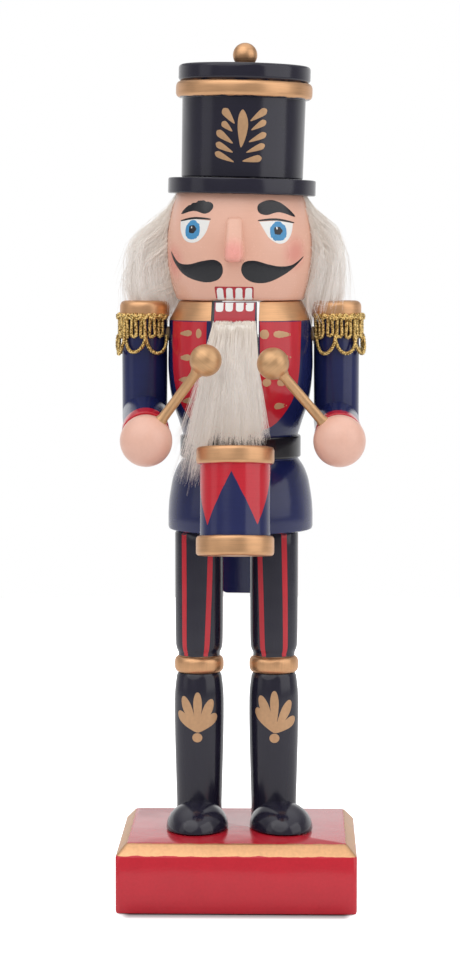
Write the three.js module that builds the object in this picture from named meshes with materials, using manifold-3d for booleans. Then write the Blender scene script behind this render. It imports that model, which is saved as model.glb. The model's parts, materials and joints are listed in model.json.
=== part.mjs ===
// A turned wooden nutcracker drummer, 300 mm tall, on a square block.
// Millimetres, +Z up. The origin is the middle of the block's underside. The figure faces -Y,
// so its "left" pieces are those on the -X side. The jaw is the short end of a two-armed lever
// that passes through a slot in the body and hangs down behind the coat as a tail.
import * as THREE from "three";
import { ConvexGeometry } from "three/addons/geometries/ConvexGeometry.js";
import { mergeVertices } from "three/addons/utils/BufferGeometryUtils.js";
import Module from "manifold-3d";

const wasm = await Module();
wasm.setup();

// ---- Driving dimensions -------------------------------------------------------------------

const GAP = 0.3; // glue line, paint and clearance between two neighbouring pieces
const ARC_STEPS = 2; // straight steps in one rounded corner
const BODY_SIDES = 30;
const LIMB_SIDES = 16;
const DOWEL_SIDES = 8;

const FIGURE_Y = 10.3; // the figure stands this far behind the middle of its block
const UPPER_X = 0.6; // body and head are glued this far to the right of the block's middle
const UPPER_YAW = -3.7; // degrees that the slot, the face and the hat are turned
const HAT_TILT = 1.4; // degrees that the hat leans to the right

const BASE = { width: 83, depth: 73.4, height: 24, bevel: 3.8, corner: 1.6, foot: 1 };

const LEG = { left: -14.1, right: 12.5, bottom: BASE.height + GAP, top: 128.3, ankle: 8.05, bead: 8.75 };
const SHOE = { halfWidth: 10.9, halfLength: 16, height: 9, y: -4.7 };
const SHOES = { left: { x: -14.3, turn: -3 }, right: { x: 15.2, turn: 11 } };
const LEG_DOWEL = { radius: 2.5, length: 18, ankleZ: 25, hipZ: 128.5 };

const COAT = { bottom: 128.8, top: 209.65, hem: 25.6, chest: 25.5 };
const BELT = { radius: 21.35, bottom: 154.4, top: 162.3 };
const SLOT = { width: 16.6, bottom: 164 };

const LEVER = { width: 14.4, tailLeft: 9.2, tailBottom: 102.6, tailCorner: 3 };
const PIVOT = { y: 4, z: 188, radius: 1.5, length: 46 };

const HEAD = { bottom: 209.95, top: 248, radius: 26, widest: 228.5, bulge: 96.6 };
const NOSE = { bottom: 223.3, top: 238.7, frontWidth: 5.3, backWidth: 9, reach: 5.3 };
const NECK_DOWEL = { x: 15, radius: 1.8, length: 14, z: 210 };
const HAIR = { bottom: 210.7, top: 245.5, openAngle: 160 };

const HAT = { x: 0.4, z: 246.8, brim: 26, brimHeight: 5.5, crown: 21.5, band: 24, cap: 23.2 };
const HAT_LEVELS = { crownTop: 33.4, bandTop: 39.4, capTop: 45.2, finial: 48.9 };
const FINIAL = { radius: 4.3, pegRadius: 1.5, pegLength: 6 };
const HAT_DOWEL = { radius: 3, length: 26, z: 2.2 };

const BEARD = { back: -25.5, thickness: 6.5, top: 203, bottom: 163 };

const SHOULDER = { x: 33.9, z: 198, dowelRadius: 2.5, dowelLength: 20, dowelX: 26 };
const ARM = { radius: 8, elbow: 7.95, top: 209.7, capRadius: 8.75, capBottom: 204 };
const FOREARM = { radius: 7.7, cuff: 8.3, cuffLength: 6 };
const HAND = { radius: 9, back: 7 };
const WRIST_DOWEL = { radius: 2, length: 12 };
const BRAID = { inner: 8.35, outer: 9.2, bottom: 191, top: 203.7, openAngle: 60 };
const STICK = { radius: 1.5, head: 5.5, insideHand: 2, insideHead: 2 };
// Where each hand and each drumstick's head is, and how steeply the forearm drops to the hand.
const ARMS = {
  left: { side: -1, drop: 12, hand: [-31.1, -25.7, 162.3], stick: [-10.55, -29.7, 190] },
  right: { side: 1, drop: 8, hand: [35.2, -25.7, 162.3], stick: [12.4, -29.7, 188.9] },
};

const DRUM = { radius: 12.1, hoop: 13.4, height: 37.4, topHoop: 6.1, bottomHoop: 7 };
const DRUM_PLACE = { x: -0.5, y: -27.3, z: 141.6, lean: -7 };
const DRUM_DOWEL = { radius: 2, length: 14, y: -15.7 };

// ---- Finishes -----------------------------------------------------------------------------

const finish = (color, roughness, metalness = 0) =>
  new THREE.MeshStandardMaterial({ color, roughness, metalness });

const FINISH = {
  red: () => finish(0xb82a3c, 0.15),
  black: () => finish(0x1c1b26, 0.12),
  navy: () => finish(0x1c2766, 0.15),
  gold: () => finish(0xc08f63, 0.45, 0.5),
  skin: () => finish(0xe9b8a2, 0.25),
  fur: () => finish(0xe8e2d8, 0.95),
  braid: () => finish(0xc9a13a, 0.4, 0.8),
  wood: () => finish(0xcfae7c, 0.7),
  steel: () => finish(0xa8abb0, 0.3, 1),
};

// ---- Shapes -------------------------------------------------------------------------------

// Points of a smooth curve through a few [radius, height] pairs.
function smooth(pairs, steps) {
  const curve = new THREE.SplineCurve(pairs.map(([x, y]) => new THREE.Vector2(x, y)));
  return curve.getPoints(steps).map((point) => [point.x, point.y]);
}

// An outline through corners, each [x, y] or [x, y, rounding].
function outline(corners) {
  const points = corners.map(([x, y]) => new THREE.Vector2(x, y));
  const path = new THREE.Path();
  path.moveTo(points[0].x, points[0].y);
  for (let i = 1; i < points.length - 1; i += 1) {
    const corner = points[i];
    const rounding = corners[i][2] ?? 0;
    if (rounding === 0) {
      path.lineTo(corner.x, corner.y);
      continue;
    }
    const towards = (other) => other.clone().sub(corner).setLength(rounding).add(corner);
    const start = towards(points[i - 1]);
    const end = towards(points[i + 1]);
    path.lineTo(start.x, start.y);
    path.quadraticCurveTo(corner.x, corner.y, end.x, end.y);
  }
  path.lineTo(points.at(-1).x, points.at(-1).y);
  return path.getPoints(ARC_STEPS);
}

// A piece turned about Z from [radius, height] corners, listed from the bottom up.
function turned(corners, sides) {
  return new THREE.LatheGeometry(outline(corners), sides).rotateX(Math.PI / 2);
}

// A solid turned piece: the same, closed to the axis at both ends.
function turnedSolid(corners, sides) {
  return turned([[0, corners[0][1]], ...corners, [0, corners.at(-1)[1]]], sides);
}

// A straight round rod, centred on its own middle and lying along Z.
function rod(radius, length, sides = DOWEL_SIDES) {
  return new THREE.CylinderGeometry(radius, radius, length, sides).rotateX(Math.PI / 2);
}

// A plate whose outline lies in the Y-Z plane, centred on X = 0.
function sidePlate(corners, width) {
  const shape = new THREE.Shape(outline([...corners, corners[0]]));
  const plate = new THREE.ExtrudeGeometry(shape, { depth: width, bevelEnabled: false });
  const [x, y, z] = [0, 1, 2].map((axis) => new THREE.Vector3().setComponent(axis, 1));
  return plate.applyMatrix4(new THREE.Matrix4().makeBasis(y, z, x)).translate(-width / 2, 0, 0);
}

// A plate whose outline lies in the X-Z plane, reaching from Y = back forwards by its thickness.
function frontPlate(corners, back, thickness) {
  const shape = new THREE.Shape(outline([...corners, corners[0]]));
  const plate = new THREE.ExtrudeGeometry(shape, { depth: thickness, bevelEnabled: false });
  return plate.rotateX(Math.PI / 2).translate(0, back, 0);
}

// Corner points of a rounded rectangle at one height, for a hull.
function ring(halfX, halfY, radius, z) {
  const steps = [0, 1, 2, 3];
  return steps.flatMap((quarter) =>
    steps.map((step) => {
      const angle = (quarter + step / 3) * (Math.PI / 2);
      const [signX, signY] = [quarter % 3 === 0 ? 1 : -1, quarter < 2 ? 1 : -1];
      return new THREE.Vector3(
        signX * (halfX - radius) + radius * Math.cos(angle),
        signY * (halfY - radius) + radius * Math.sin(angle),
        z,
      );
    }),
  );
}

// ---- Cutting ------------------------------------------------------------------------------

function solidOf(geometry, matrix = new THREE.Matrix4()) {
  const bare = geometry.clone().applyMatrix4(matrix);
  bare.deleteAttribute("normal");
  bare.deleteAttribute("uv");
  const merged = mergeVertices(bare, 1e-4);
  const vertProperties = new Float32Array(merged.attributes.position.array);
  const triVerts = new Uint32Array(merged.index.array);
  return new wasm.Manifold(new wasm.Mesh({ numProp: 3, vertProperties, triVerts }));
}

function geometryOf(solid) {
  const { vertProperties, triVerts } = solid.getMesh();
  const geometry = new THREE.BufferGeometry();
  geometry.setAttribute("position", new THREE.BufferAttribute(vertProperties, 3));
  geometry.setIndex(new THREE.BufferAttribute(triVerts, 1));
  geometry.computeVertexNormals();
  return geometry;
}

// Takes a tool's shape, placed by its own world matrix, out of a piece.
function cut(piece, tool) {
  const toPiece = piece.matrixWorld.clone().invert().multiply(tool.matrixWorld);
  piece.geometry = geometryOf(solidOf(piece.geometry).subtract(solidOf(tool.geometry, toPiece)));
}

// Makes the hole for a rod in each piece that it enters.
function drill(dowel, ...pieces) {
  const { radius, length } = dowel.userData;
  const bit = new THREE.Mesh(rod(radius + GAP, length + 2 * GAP));
  bit.matrixWorld.copy(dowel.matrixWorld);
  pieces.forEach((piece) => cut(piece, bit));
}

// Saws off whatever of a piece lies beyond a plane, on the side that its normal points to.
function saw(piece, point, normal) {
  const size = 80;
  const block = new THREE.BoxGeometry(size, size, size).translate(0, 0, size / 2);
  const waste = new THREE.Mesh(block);
  waste.position.copy(point).addScaledVector(normal, -GAP / 2);
  waste.quaternion.setFromUnitVectors(new THREE.Vector3(0, 0, 1), normal);
  waste.updateMatrixWorld(true);
  cut(piece, waste);
}

// ---- Pieces -------------------------------------------------------------------------------

function piece(name, geometry, material, parent) {
  const mesh = new THREE.Mesh(geometry, material);
  mesh.name = name;
  parent.add(mesh);
  return mesh;
}

// A dowel along +Z of its own frame, turned afterwards by the caller where it lies flat.
function dowel(name, radius, length, parent, material = FINISH.wood()) {
  const mesh = piece(name, rod(radius, length), material, parent);
  mesh.userData = { radius, length };
  return mesh;
}

function group(parent, x = 0, y = 0, z = 0) {
  const made = new THREE.Group();
  made.position.set(x, y, z);
  parent.add(made);
  return made;
}

const radians = THREE.MathUtils.degToRad;
const headRadius = (z) => HEAD.radius - (z - HEAD.widest) ** 2 / HEAD.bulge;

function makeBase(parent) {
  const { width, depth, height, bevel, corner, foot } = BASE;
  const level = (inset, z) => ring(width / 2 - inset, depth / 2 - inset, corner, z);
  const points = [
    ...level(foot, 0),
    ...level(foot * 0.3, foot * 0.3),
    ...level(0, foot),
    ...level(0, height - bevel),
    ...level(bevel, height),
  ];
  return piece("base_block", new ConvexGeometry(points), FINISH.red(), parent);
}

function makeLeg(name, x, parent) {
  const boot = [[LEG.ankle, 31], [8.3, 40], [8.7, 55], [8.8, 66], [8.6, 71.5], [8, 76.4]];
  const thigh = [[7.9, 85.7], [8.3, 87.4], [8.45, 92], [8.5, 99], [8.55, 112]];
  const bead = [77.4, 83.5];
  const corners = [
    [LEG.ankle, LEG.bottom],
    ...smooth(boot, 6),
    [7.5, bead[0]],
    [LEG.bead, bead[0], 2.4],
    [LEG.bead, bead[1], 2.4],
    [7.4, bead[1]],
    [7.4, 84.5],
    ...smooth(thigh, 4),
    [8.55, LEG.top, 1],
  ];
  const leg = piece(name, turnedSolid(corners, LIMB_SIDES), FINISH.black(), parent);
  leg.position.set(x, FIGURE_Y, 0);
  return leg;
}

// A domed toe cap whose hollow back is scribed to the leg.
function makeShoe(name, place, parent) {
  const dome = Array.from({ length: 6 }, (_, step) => (step / 6) * (Math.PI / 2));
  const corners = dome.map((angle) => [Math.cos(angle), Math.sin(angle)]);
  const geometry = turned([[0, 0], ...corners, [0, 1]], LIMB_SIDES);
  geometry.scale(SHOE.halfWidth, SHOE.halfLength, SHOE.height);
  const shoe = piece(name, geometry, FINISH.black(), parent);
  shoe.position.set(place.x, SHOE.y, LEG.bottom);
  shoe.rotation.z = radians(place.turn);
  return shoe;
}

function makeTorso(parent) {
  const waist = 20.4;
  const skirt = [[25.6, 134.6], [25.3, 139.2], [24.6, 143.8], [23.9, 147.2], [22.4, 151], [waist, 154]];
  const chest = [[waist, 162.8], [21.7, 166.9], [24.4, 175.5], [COAT.chest, 185], [COAT.chest, 193]];
  const corners = [
    [COAT.hem, COAT.bottom, 1.2],
    ...smooth(skirt, 5),
    [BELT.radius, BELT.bottom, 0.9],
    [BELT.radius, BELT.top, 0.9],
    ...smooth(chest, 6),
    [25.2, 202.9],
    [21.9, COAT.top, 0.8],
  ];
  return piece("torso", turnedSolid(corners, BODY_SIDES), FINISH.navy(), parent);
}

// The slot for the lever runs right through the body and is open at the top.
function cutSlot(torso) {
  const height = COAT.top - SLOT.bottom + 2;
  const slot = new THREE.BoxGeometry(SLOT.width, 4 * COAT.chest, height);
  const tool = new THREE.Mesh(slot.translate(0, 0, SLOT.bottom + height / 2));
  tool.matrixWorld.copy(torso.matrixWorld);
  cut(torso, tool);
}

// Chin plate in front, arm through the slot, and the tail down the back of the coat.
function makeLever(parent) {
  const chin = [[-22.3, 209.5, 0.8], [-COAT.chest + GAP, 203, 1], [-COAT.chest + GAP, 178, 1]];
  const underside = [[-17, 178], [-12, 180], [8, 180], [20, 176], [25.9, 172]];
  const tail = [[25.9, LEVER.tailBottom, 0.8], [31.9, LEVER.tailBottom, 0.8], [31.9, 190, 3]];
  const top = [[26, 197, 2], [-14, 197, 2], [-17.5, 200], [-17.5, 209.5, 0.8]];
  const start = [-20, 209.5];
  const side = sidePlate([start, ...chin, ...underside, ...tail, ...top], 2 * LEVER.tailLeft);
  const half = LEVER.width / 2;
  const { tailLeft, tailBottom, tailCorner } = LEVER; // the tail is left broader on one side
  const front = frontPlate(
    [
      [0, tailBottom],
      [half, tailBottom, tailCorner],
      [half, 215],
      [-half, 215],
      [-half, 172],
      [-tailLeft, 166],
      [-tailLeft, tailBottom, tailCorner],
    ],
    40,
    80,
  );
  const solid = solidOf(side).intersect(solidOf(front));
  return piece("jaw_lever", geometryOf(solid), FINISH.navy(), parent);
}

function makeHead(parent) {
  const heights = Array.from({ length: 9 }, (_, step) =>
    THREE.MathUtils.lerp(HEAD.bottom, HEAD.top, step / 8),
  );
  const corners = heights.map((z) => [headRadius(z), z]);
  return piece("head", turnedSolid(corners, BODY_SIDES), FINISH.skin(), parent);
}

// A wedge glued to the face, deepest at its lower end. Its back is scribed to the head.
function makeNose(parent) {
  const { bottom, top, frontWidth, backWidth, reach } = NOSE;
  const level = (z, front, back, y) => [
    new THREE.Vector3(-front / 2, y, z),
    new THREE.Vector3(front / 2, y, z),
    new THREE.Vector3(-back / 2, -HEAD.radius + 5, z),
    new THREE.Vector3(back / 2, -HEAD.radius + 5, z),
  ];
  const points = [
    ...level(bottom, frontWidth * 0.8, backWidth * 0.9, -headRadius(bottom) - reach + 0.8),
    ...level(bottom + 1.5, frontWidth, backWidth, -headRadius(bottom) - reach),
    ...level(top, frontWidth * 0.9, backWidth * 0.8, -headRadius(top) - 1),
  ];
  return piece("nose", new ConvexGeometry(points), FINISH.skin(), parent);
}

// The outside of the head as a cutting tool, one gap larger.
function headTool(head) {
  const levels = [HEAD.bottom, 216, 222, HEAD.widest, 235, 241, HEAD.top];
  const corners = levels.map((z) => [headRadius(z) + GAP, z]);
  const tool = new THREE.Mesh(turnedSolid(corners, BODY_SIDES));
  tool.matrixWorld.copy(head.matrixWorld);
  return tool;
}

// A thick fur wig, from one temple round the back to the other.
function makeHair(parent) {
  const { bottom, top, openAngle } = HAIR;
  const outside = smooth([[30, bottom], [36, 214], [38, 221], [37.6, 229], [34.5, 237.5], [28, top]], 8);
  const inside = [top, 237, HEAD.widest, 219, bottom].map((z) => [headRadius(z) + 2 * GAP, z]);
  const loop = [...outside, ...inside, outside[0]];
  const wig = solidOf(turned(loop, BODY_SIDES));
  const half = radians(openAngle / 2);
  const reach = 60;
  const corner = [reach * Math.sin(half), -reach * Math.cos(half)];
  const face = new THREE.Shape([
    new THREE.Vector2(0, 0),
    new THREE.Vector2(-corner[0], corner[1]),
    new THREE.Vector2(-corner[0], -reach),
    new THREE.Vector2(corner[0], -reach),
    new THREE.Vector2(corner[0], corner[1]),
  ]);
  const opening = new THREE.ExtrudeGeometry(face, { depth: 60, bevelEnabled: false });
  const solid = wig.subtract(solidOf(opening.translate(0, 0, 200)));
  return piece("hair", geometryOf(solid), FINISH.fur(), parent);
}

// A tapered fur pad on the chin plate, wider towards its lower end.
function makeBeard(parent) {
  const half = [[10, BEARD.bottom], [15.5, 166], [13, 175], [9.5, 190], [7.5, BEARD.top]];
  const mirrored = half.map(([x, z]) => [-x, z]).reverse();
  const pad = frontPlate([...half, ...mirrored], BEARD.back, BEARD.thickness);
  return piece("beard", pad, FINISH.fur(), parent);
}

function makeHat(parent) {
  const { crownTop, bandTop, capTop, finial } = HAT_LEVELS;
  const brimShape = [
    [HAT.brim, 0, 0.5],
    [HAT.brim, HAT.brimHeight, 0.5],
  ];
  const crownShape = [
    [HAT.crown - 0.1, HAT.brimHeight + GAP],
    [HAT.crown + 0.2, crownTop],
    [HAT.band, crownTop, 2],
    [HAT.band, bandTop, 2],
    [HAT.cap - 1, bandTop],
    [HAT.cap, bandTop + 0.8],
    [HAT.cap, capTop, 1.6],
  ];
  const ball = Array.from({ length: 6 }, (_, step) => radians(-52 + (step / 6) * 142));
  const finialShape = [
    [FINIAL.pegRadius, capTop + GAP - FINIAL.pegLength],
    [FINIAL.pegRadius, capTop + GAP],
    ...ball.map((angle) => [
      FINIAL.radius * Math.cos(angle),
      finial + FINIAL.radius * Math.sin(angle),
    ]),
    [0.01, finial + FINIAL.radius],
  ];
  const hat = {
    brim: piece("hat_brim", turnedSolid(brimShape, BODY_SIDES), FINISH.black(), parent),
    crown: piece("hat_crown", turnedSolid(crownShape, BODY_SIDES), FINISH.black(), parent),
    finial: piece("hat_finial", turnedSolid(finialShape, DOWEL_SIDES), FINISH.gold(), parent),
    dowel: dowel("hat_dowel", HAT_DOWEL.radius, HAT_DOWEL.length, parent),
  };
  hat.dowel.position.z = HAT_DOWEL.z;
  return hat;
}

// A length of fringe glued round the upper arm, open on the side that faces the body.
function makeBraid(name, side, parent) {
  const { inner, outer, bottom, top, openAngle } = BRAID;
  const open = radians(openAngle / 2);
  const shape = new THREE.Shape();
  shape.absarc(0, 0, outer, open, 2 * Math.PI - open, false);
  shape.absarc(0, 0, inner, 2 * Math.PI - open, open, true);
  const options = { depth: top - bottom, bevelEnabled: false, curveSegments: 20 };
  const braid = piece(name, new THREE.ExtrudeGeometry(shape, options), FINISH.braid(), parent);
  braid.position.set(side * SHOULDER.x, 0, bottom);
  braid.rotation.z = side > 0 ? Math.PI : 0;
  return braid;
}

// One arm: two pieces mitred at the elbow, the hand, its drumstick and the dowels that hold them.
function makeArm(name, place, parent) {
  const { side, drop } = place;
  const hand = new THREE.Vector3(...place.hand).sub(parent.position);
  const reach = FIGURE_Y - place.hand[1];
  const elbow = new THREE.Vector3(side * SHOULDER.x, 0, hand.z + reach * Math.tan(radians(drop)));
  const direction = hand.clone().sub(elbow);
  const length = direction.length();
  direction.normalize();
  const overrun = 14; // length past the elbow, before the mitre is sawn

  const upperShape = [
    [ARM.elbow, elbow.z - overrun],
    [ARM.elbow, elbow.z],
    [ARM.radius, elbow.z + 22],
    [ARM.radius, ARM.capBottom],
    [ARM.capRadius, ARM.capBottom],
    [ARM.capRadius, ARM.top, 2.2],
  ];
  const upper = piece(
    `${name}_upper_arm`, turnedSolid(upperShape, LIMB_SIDES), FINISH.navy(), parent,
  );
  upper.position.set(elbow.x, elbow.y, 0);

  const lower = group(parent, elbow.x, elbow.y, elbow.z);
  lower.quaternion.setFromUnitVectors(new THREE.Vector3(0, 0, 1), direction);
  const end = length - HAND.back - GAP;
  const forearmShape = [
    [FOREARM.radius, -overrun],
    [FOREARM.radius, end - FOREARM.cuffLength],
    [FOREARM.cuff, end - FOREARM.cuffLength + 0.4],
    [FOREARM.cuff, end, 0.6],
  ];
  const forearm = piece(
    `${name}_forearm`, turnedSolid(forearmShape, LIMB_SIDES), FINISH.navy(), lower,
  );
  const flat = Math.asin(-HAND.back / HAND.radius);
  const turns = Array.from({ length: 7 }, (_, step) =>
    THREE.MathUtils.lerp(flat, Math.PI / 2, step / 7),
  );
  const ball = turns.map((angle) => [
    HAND.radius * Math.cos(angle),
    length + HAND.radius * Math.sin(angle),
  ]);
  const fist = piece(
    `${name}_hand`,
    turned([[0, ball[0][1]], ...ball, [0, length + HAND.radius]], LIMB_SIDES),
    FINISH.skin(),
    lower,
  );
  const wrist = dowel(`${name}_wrist_dowel`, WRIST_DOWEL.radius, WRIST_DOWEL.length, lower);
  wrist.position.z = length - 4 - WRIST_DOWEL.length / 2;

  const shoulder = dowel(
    `${name}_shoulder_dowel`, SHOULDER.dowelRadius, SHOULDER.dowelLength, parent,
  );
  shoulder.position.set(side * SHOULDER.dowelX, 0, SHOULDER.z);
  shoulder.rotation.y = Math.PI / 2;

  // The elbow dowel crosses the mitre at right angles to it.
  const mitre = new THREE.Vector3(0, 0, 1).sub(direction).normalize();
  const elbowDowel = dowel(`${name}_elbow_dowel`, 2, 10, parent);
  elbowDowel.position.copy(elbow);
  elbowDowel.quaternion.setFromUnitVectors(new THREE.Vector3(0, 0, 1), mitre);

  const stickHead = new THREE.Vector3(...place.stick).sub(parent.position);
  const along = stickHead.clone().sub(hand);
  const shaftLength = along.length() + STICK.insideHand + STICK.insideHead;
  along.normalize();
  const shaft = dowel(`${name}_drumstick`, STICK.radius, shaftLength, parent, FINISH.gold());
  shaft.position.copy(hand).addScaledVector(along, shaftLength / 2 - STICK.insideHand);
  shaft.quaternion.setFromUnitVectors(new THREE.Vector3(0, 0, 1), along);
  const knob = piece(
    `${name}_stick_head`,
    new THREE.SphereGeometry(STICK.head, 14, 9).rotateX(Math.PI / 2),
    FINISH.gold(),
    parent,
  );
  knob.position.copy(stickHead);

  const braid = makeBraid(`${name}_braid`, side, parent);
  return { upper, forearm, fist, wrist, shoulder, elbowDowel, shaft, knob, braid, elbow, mitre };
}

function makeDrum(parent) {
  const { radius, hoop, height, topHoop, bottomHoop } = DRUM;
  const [bottom, top] = [-height / 2, height / 2];
  const corners = [
    [hoop, bottom, 1.4],
    [hoop, bottom + bottomHoop, 1.4],
    [radius, bottom + bottomHoop],
    [radius, top - topHoop],
    [hoop, top - topHoop, 1.4],
    [hoop, top, 1.4],
  ];
  const drum = piece("drum", turnedSolid(corners, LIMB_SIDES + 4), FINISH.navy(), parent);
  drum.position.set(DRUM_PLACE.x, DRUM_PLACE.y, DRUM_PLACE.z);
  drum.rotation.x = radians(DRUM_PLACE.lean);
  const peg = dowel("drum_dowel", DRUM_DOWEL.radius, DRUM_DOWEL.length, parent);
  peg.position.set(DRUM_PLACE.x, DRUM_DOWEL.y, DRUM_PLACE.z);
  peg.rotation.x = Math.PI / 2;
  return { drum, peg };
}

// ---- Assembly -----------------------------------------------------------------------------

const nutcracker = new THREE.Group();
const upperBody = group(nutcracker, UPPER_X, FIGURE_Y, 0);
upperBody.rotation.z = radians(UPPER_YAW);
const armFrame = group(nutcracker, UPPER_X, FIGURE_Y, 0);
const hatFrame = group(upperBody, HAT.x, 0, HAT.z);
hatFrame.rotation.y = radians(HAT_TILT);

const base = makeBase(nutcracker);
const legs = {};
const shoes = {};
const legDowels = {};
for (const side of ["left", "right"]) {
  legs[side] = makeLeg(`${side}_leg`, LEG[side], nutcracker);
  shoes[side] = makeShoe(`${side}_shoe`, SHOES[side], nutcracker);
  const ends = { ankle: LEG_DOWEL.ankleZ, hip: LEG_DOWEL.hipZ };
  for (const [end, z] of Object.entries(ends)) {
    const pin = dowel(`${side}_${end}_dowel`, LEG_DOWEL.radius, LEG_DOWEL.length, nutcracker);
    pin.position.set(legs[side].position.x, FIGURE_Y, z);
    legDowels[side + end] = pin;
  }
}

const torso = makeTorso(upperBody);
const lever = makeLever(upperBody);
const pivot = dowel("jaw_pin", PIVOT.radius, PIVOT.length, upperBody, FINISH.steel());
pivot.position.set(0, PIVOT.y, PIVOT.z);
pivot.rotation.y = Math.PI / 2;
const head = makeHead(upperBody);
const nose = makeNose(upperBody);
const neckDowels = ["left", "right"].map((side, index) => {
  const peg = dowel(`${side}_neck_dowel`, NECK_DOWEL.radius, NECK_DOWEL.length, upperBody);
  peg.position.set(NECK_DOWEL.x * (2 * index - 1), 0, NECK_DOWEL.z);
  return peg;
});
makeHair(upperBody);
makeBeard(upperBody);
const hat = makeHat(hatFrame);
const arms = Object.entries(ARMS).map(([side, place]) => makeArm(side, place, armFrame));
const drum = makeDrum(nutcracker);

// ---- Joinery: slots, mitres and dowel holes, cut with every piece in its place ------------

nutcracker.updateMatrixWorld(true);

for (const side of ["left", "right"]) {
  const leg = legs[side];
  const shank = new THREE.Mesh(rod(LEG.ankle + GAP, 40, LIMB_SIDES).translate(0, 0, LEG.bottom));
  shank.matrixWorld.copy(leg.matrixWorld);
  cut(shoes[side], shank);
  drill(legDowels[side + "ankle"], base, leg);
  drill(legDowels[side + "hip"], leg, torso);
}

cutSlot(torso);
drill(pivot, torso, lever);
cut(nose, headTool(head));
neckDowels.forEach((peg) => drill(peg, torso, head));

const hatUp = new THREE.Vector3(0, 0, 1).transformDirection(hatFrame.matrixWorld);
saw(head, hatFrame.getWorldPosition(new THREE.Vector3()), hatUp);
drill(hat.dowel, head, hat.brim, hat.crown);
const finialHole = new THREE.Mesh(rod(FINIAL.pegRadius + GAP, 2 * FINIAL.pegLength + 2 * GAP));
finialHole.position.z = HAT_LEVELS.capTop;
hatFrame.add(finialHole);
finialHole.updateMatrixWorld(true);
cut(hat.crown, finialHole);
hatFrame.remove(finialHole);

for (const arm of arms) {
  const elbow = arm.elbow.clone().add(armFrame.position);
  saw(arm.upper, elbow, arm.mitre.clone().negate());
  saw(arm.forearm, elbow, arm.mitre);
  drill(arm.elbowDowel, arm.upper, arm.forearm);
  drill(arm.shoulder, arm.upper, torso);
  drill(arm.wrist, arm.forearm, arm.fist);
  drill(arm.shaft, arm.fist, arm.knob);
}

drill(drum.peg, torso, drum.drum);

export default nutcracker;
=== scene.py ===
"""The looks of a turned wooden nutcracker drummer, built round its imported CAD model.

Sizes inside the classes are in millimetres, in each piece's own frame; a Placement turns them into
the figure's frame, in metres. The figure faces -Y, so its left pieces are those on the -X side.
Angles round a turned piece are in degrees from its front, growing towards +X.
"""

import json
import logging
import math
from dataclasses import dataclass, field
from enum import Enum
from typing import Callable, Iterable, Sequence

import bmesh
import bpy
import numpy as np
from mathutils import Matrix, Vector
from mathutils.geometry import delaunay_2d_cdt

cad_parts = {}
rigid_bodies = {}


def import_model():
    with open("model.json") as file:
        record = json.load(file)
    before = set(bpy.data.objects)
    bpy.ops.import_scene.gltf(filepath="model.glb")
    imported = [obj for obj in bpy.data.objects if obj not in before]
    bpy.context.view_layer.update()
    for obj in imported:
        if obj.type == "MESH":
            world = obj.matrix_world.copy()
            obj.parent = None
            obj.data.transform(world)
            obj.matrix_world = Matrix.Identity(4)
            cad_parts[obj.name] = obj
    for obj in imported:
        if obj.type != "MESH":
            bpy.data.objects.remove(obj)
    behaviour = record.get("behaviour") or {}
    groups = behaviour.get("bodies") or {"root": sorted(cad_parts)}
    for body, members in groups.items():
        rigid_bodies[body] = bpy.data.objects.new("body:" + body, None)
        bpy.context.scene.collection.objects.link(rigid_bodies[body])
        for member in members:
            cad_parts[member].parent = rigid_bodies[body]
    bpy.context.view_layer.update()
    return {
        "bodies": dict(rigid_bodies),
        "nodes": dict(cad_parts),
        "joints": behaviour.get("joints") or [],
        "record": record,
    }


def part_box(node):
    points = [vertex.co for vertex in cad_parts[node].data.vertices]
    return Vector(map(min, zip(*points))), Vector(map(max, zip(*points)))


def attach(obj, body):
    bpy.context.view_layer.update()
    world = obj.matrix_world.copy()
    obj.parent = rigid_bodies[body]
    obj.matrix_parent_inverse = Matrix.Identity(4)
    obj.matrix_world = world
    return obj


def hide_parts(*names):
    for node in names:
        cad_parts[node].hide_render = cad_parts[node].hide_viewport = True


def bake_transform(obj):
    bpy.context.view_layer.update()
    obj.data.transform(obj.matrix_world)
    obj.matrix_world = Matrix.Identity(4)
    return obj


LOG = logging.getLogger("nutcracker")

Colour = tuple[float, float, float]
Pair = tuple[float, float]
Corner = tuple[float, ...]
Socket = bpy.types.NodeSocket
Material = bpy.types.Material
Piece = bpy.types.Object

MM = 0.001
OWN_PLACE = "own_place"
ALONG = "along"
SHADE = "shade"
FIGURE = "figure"
JAW = "jaw"


class Side(Enum):
    """The figure's two sides, with the sign of X on each."""

    LEFT = -1
    RIGHT = 1

    @property
    def word(self) -> str:
        """The side's name, as CAD nodes start with it."""
        return self.name.lower()


class Brush(Enum):
    """How a coat of paint was laid on: which way its brush lines run."""

    ROUND = (0.12, 0.12, 2.6)
    UPRIGHT = (2.2, 2.2, 0.1)
    SPRAYED = (0.9, 0.9, 0.9)


# ---- Places ----


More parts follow.
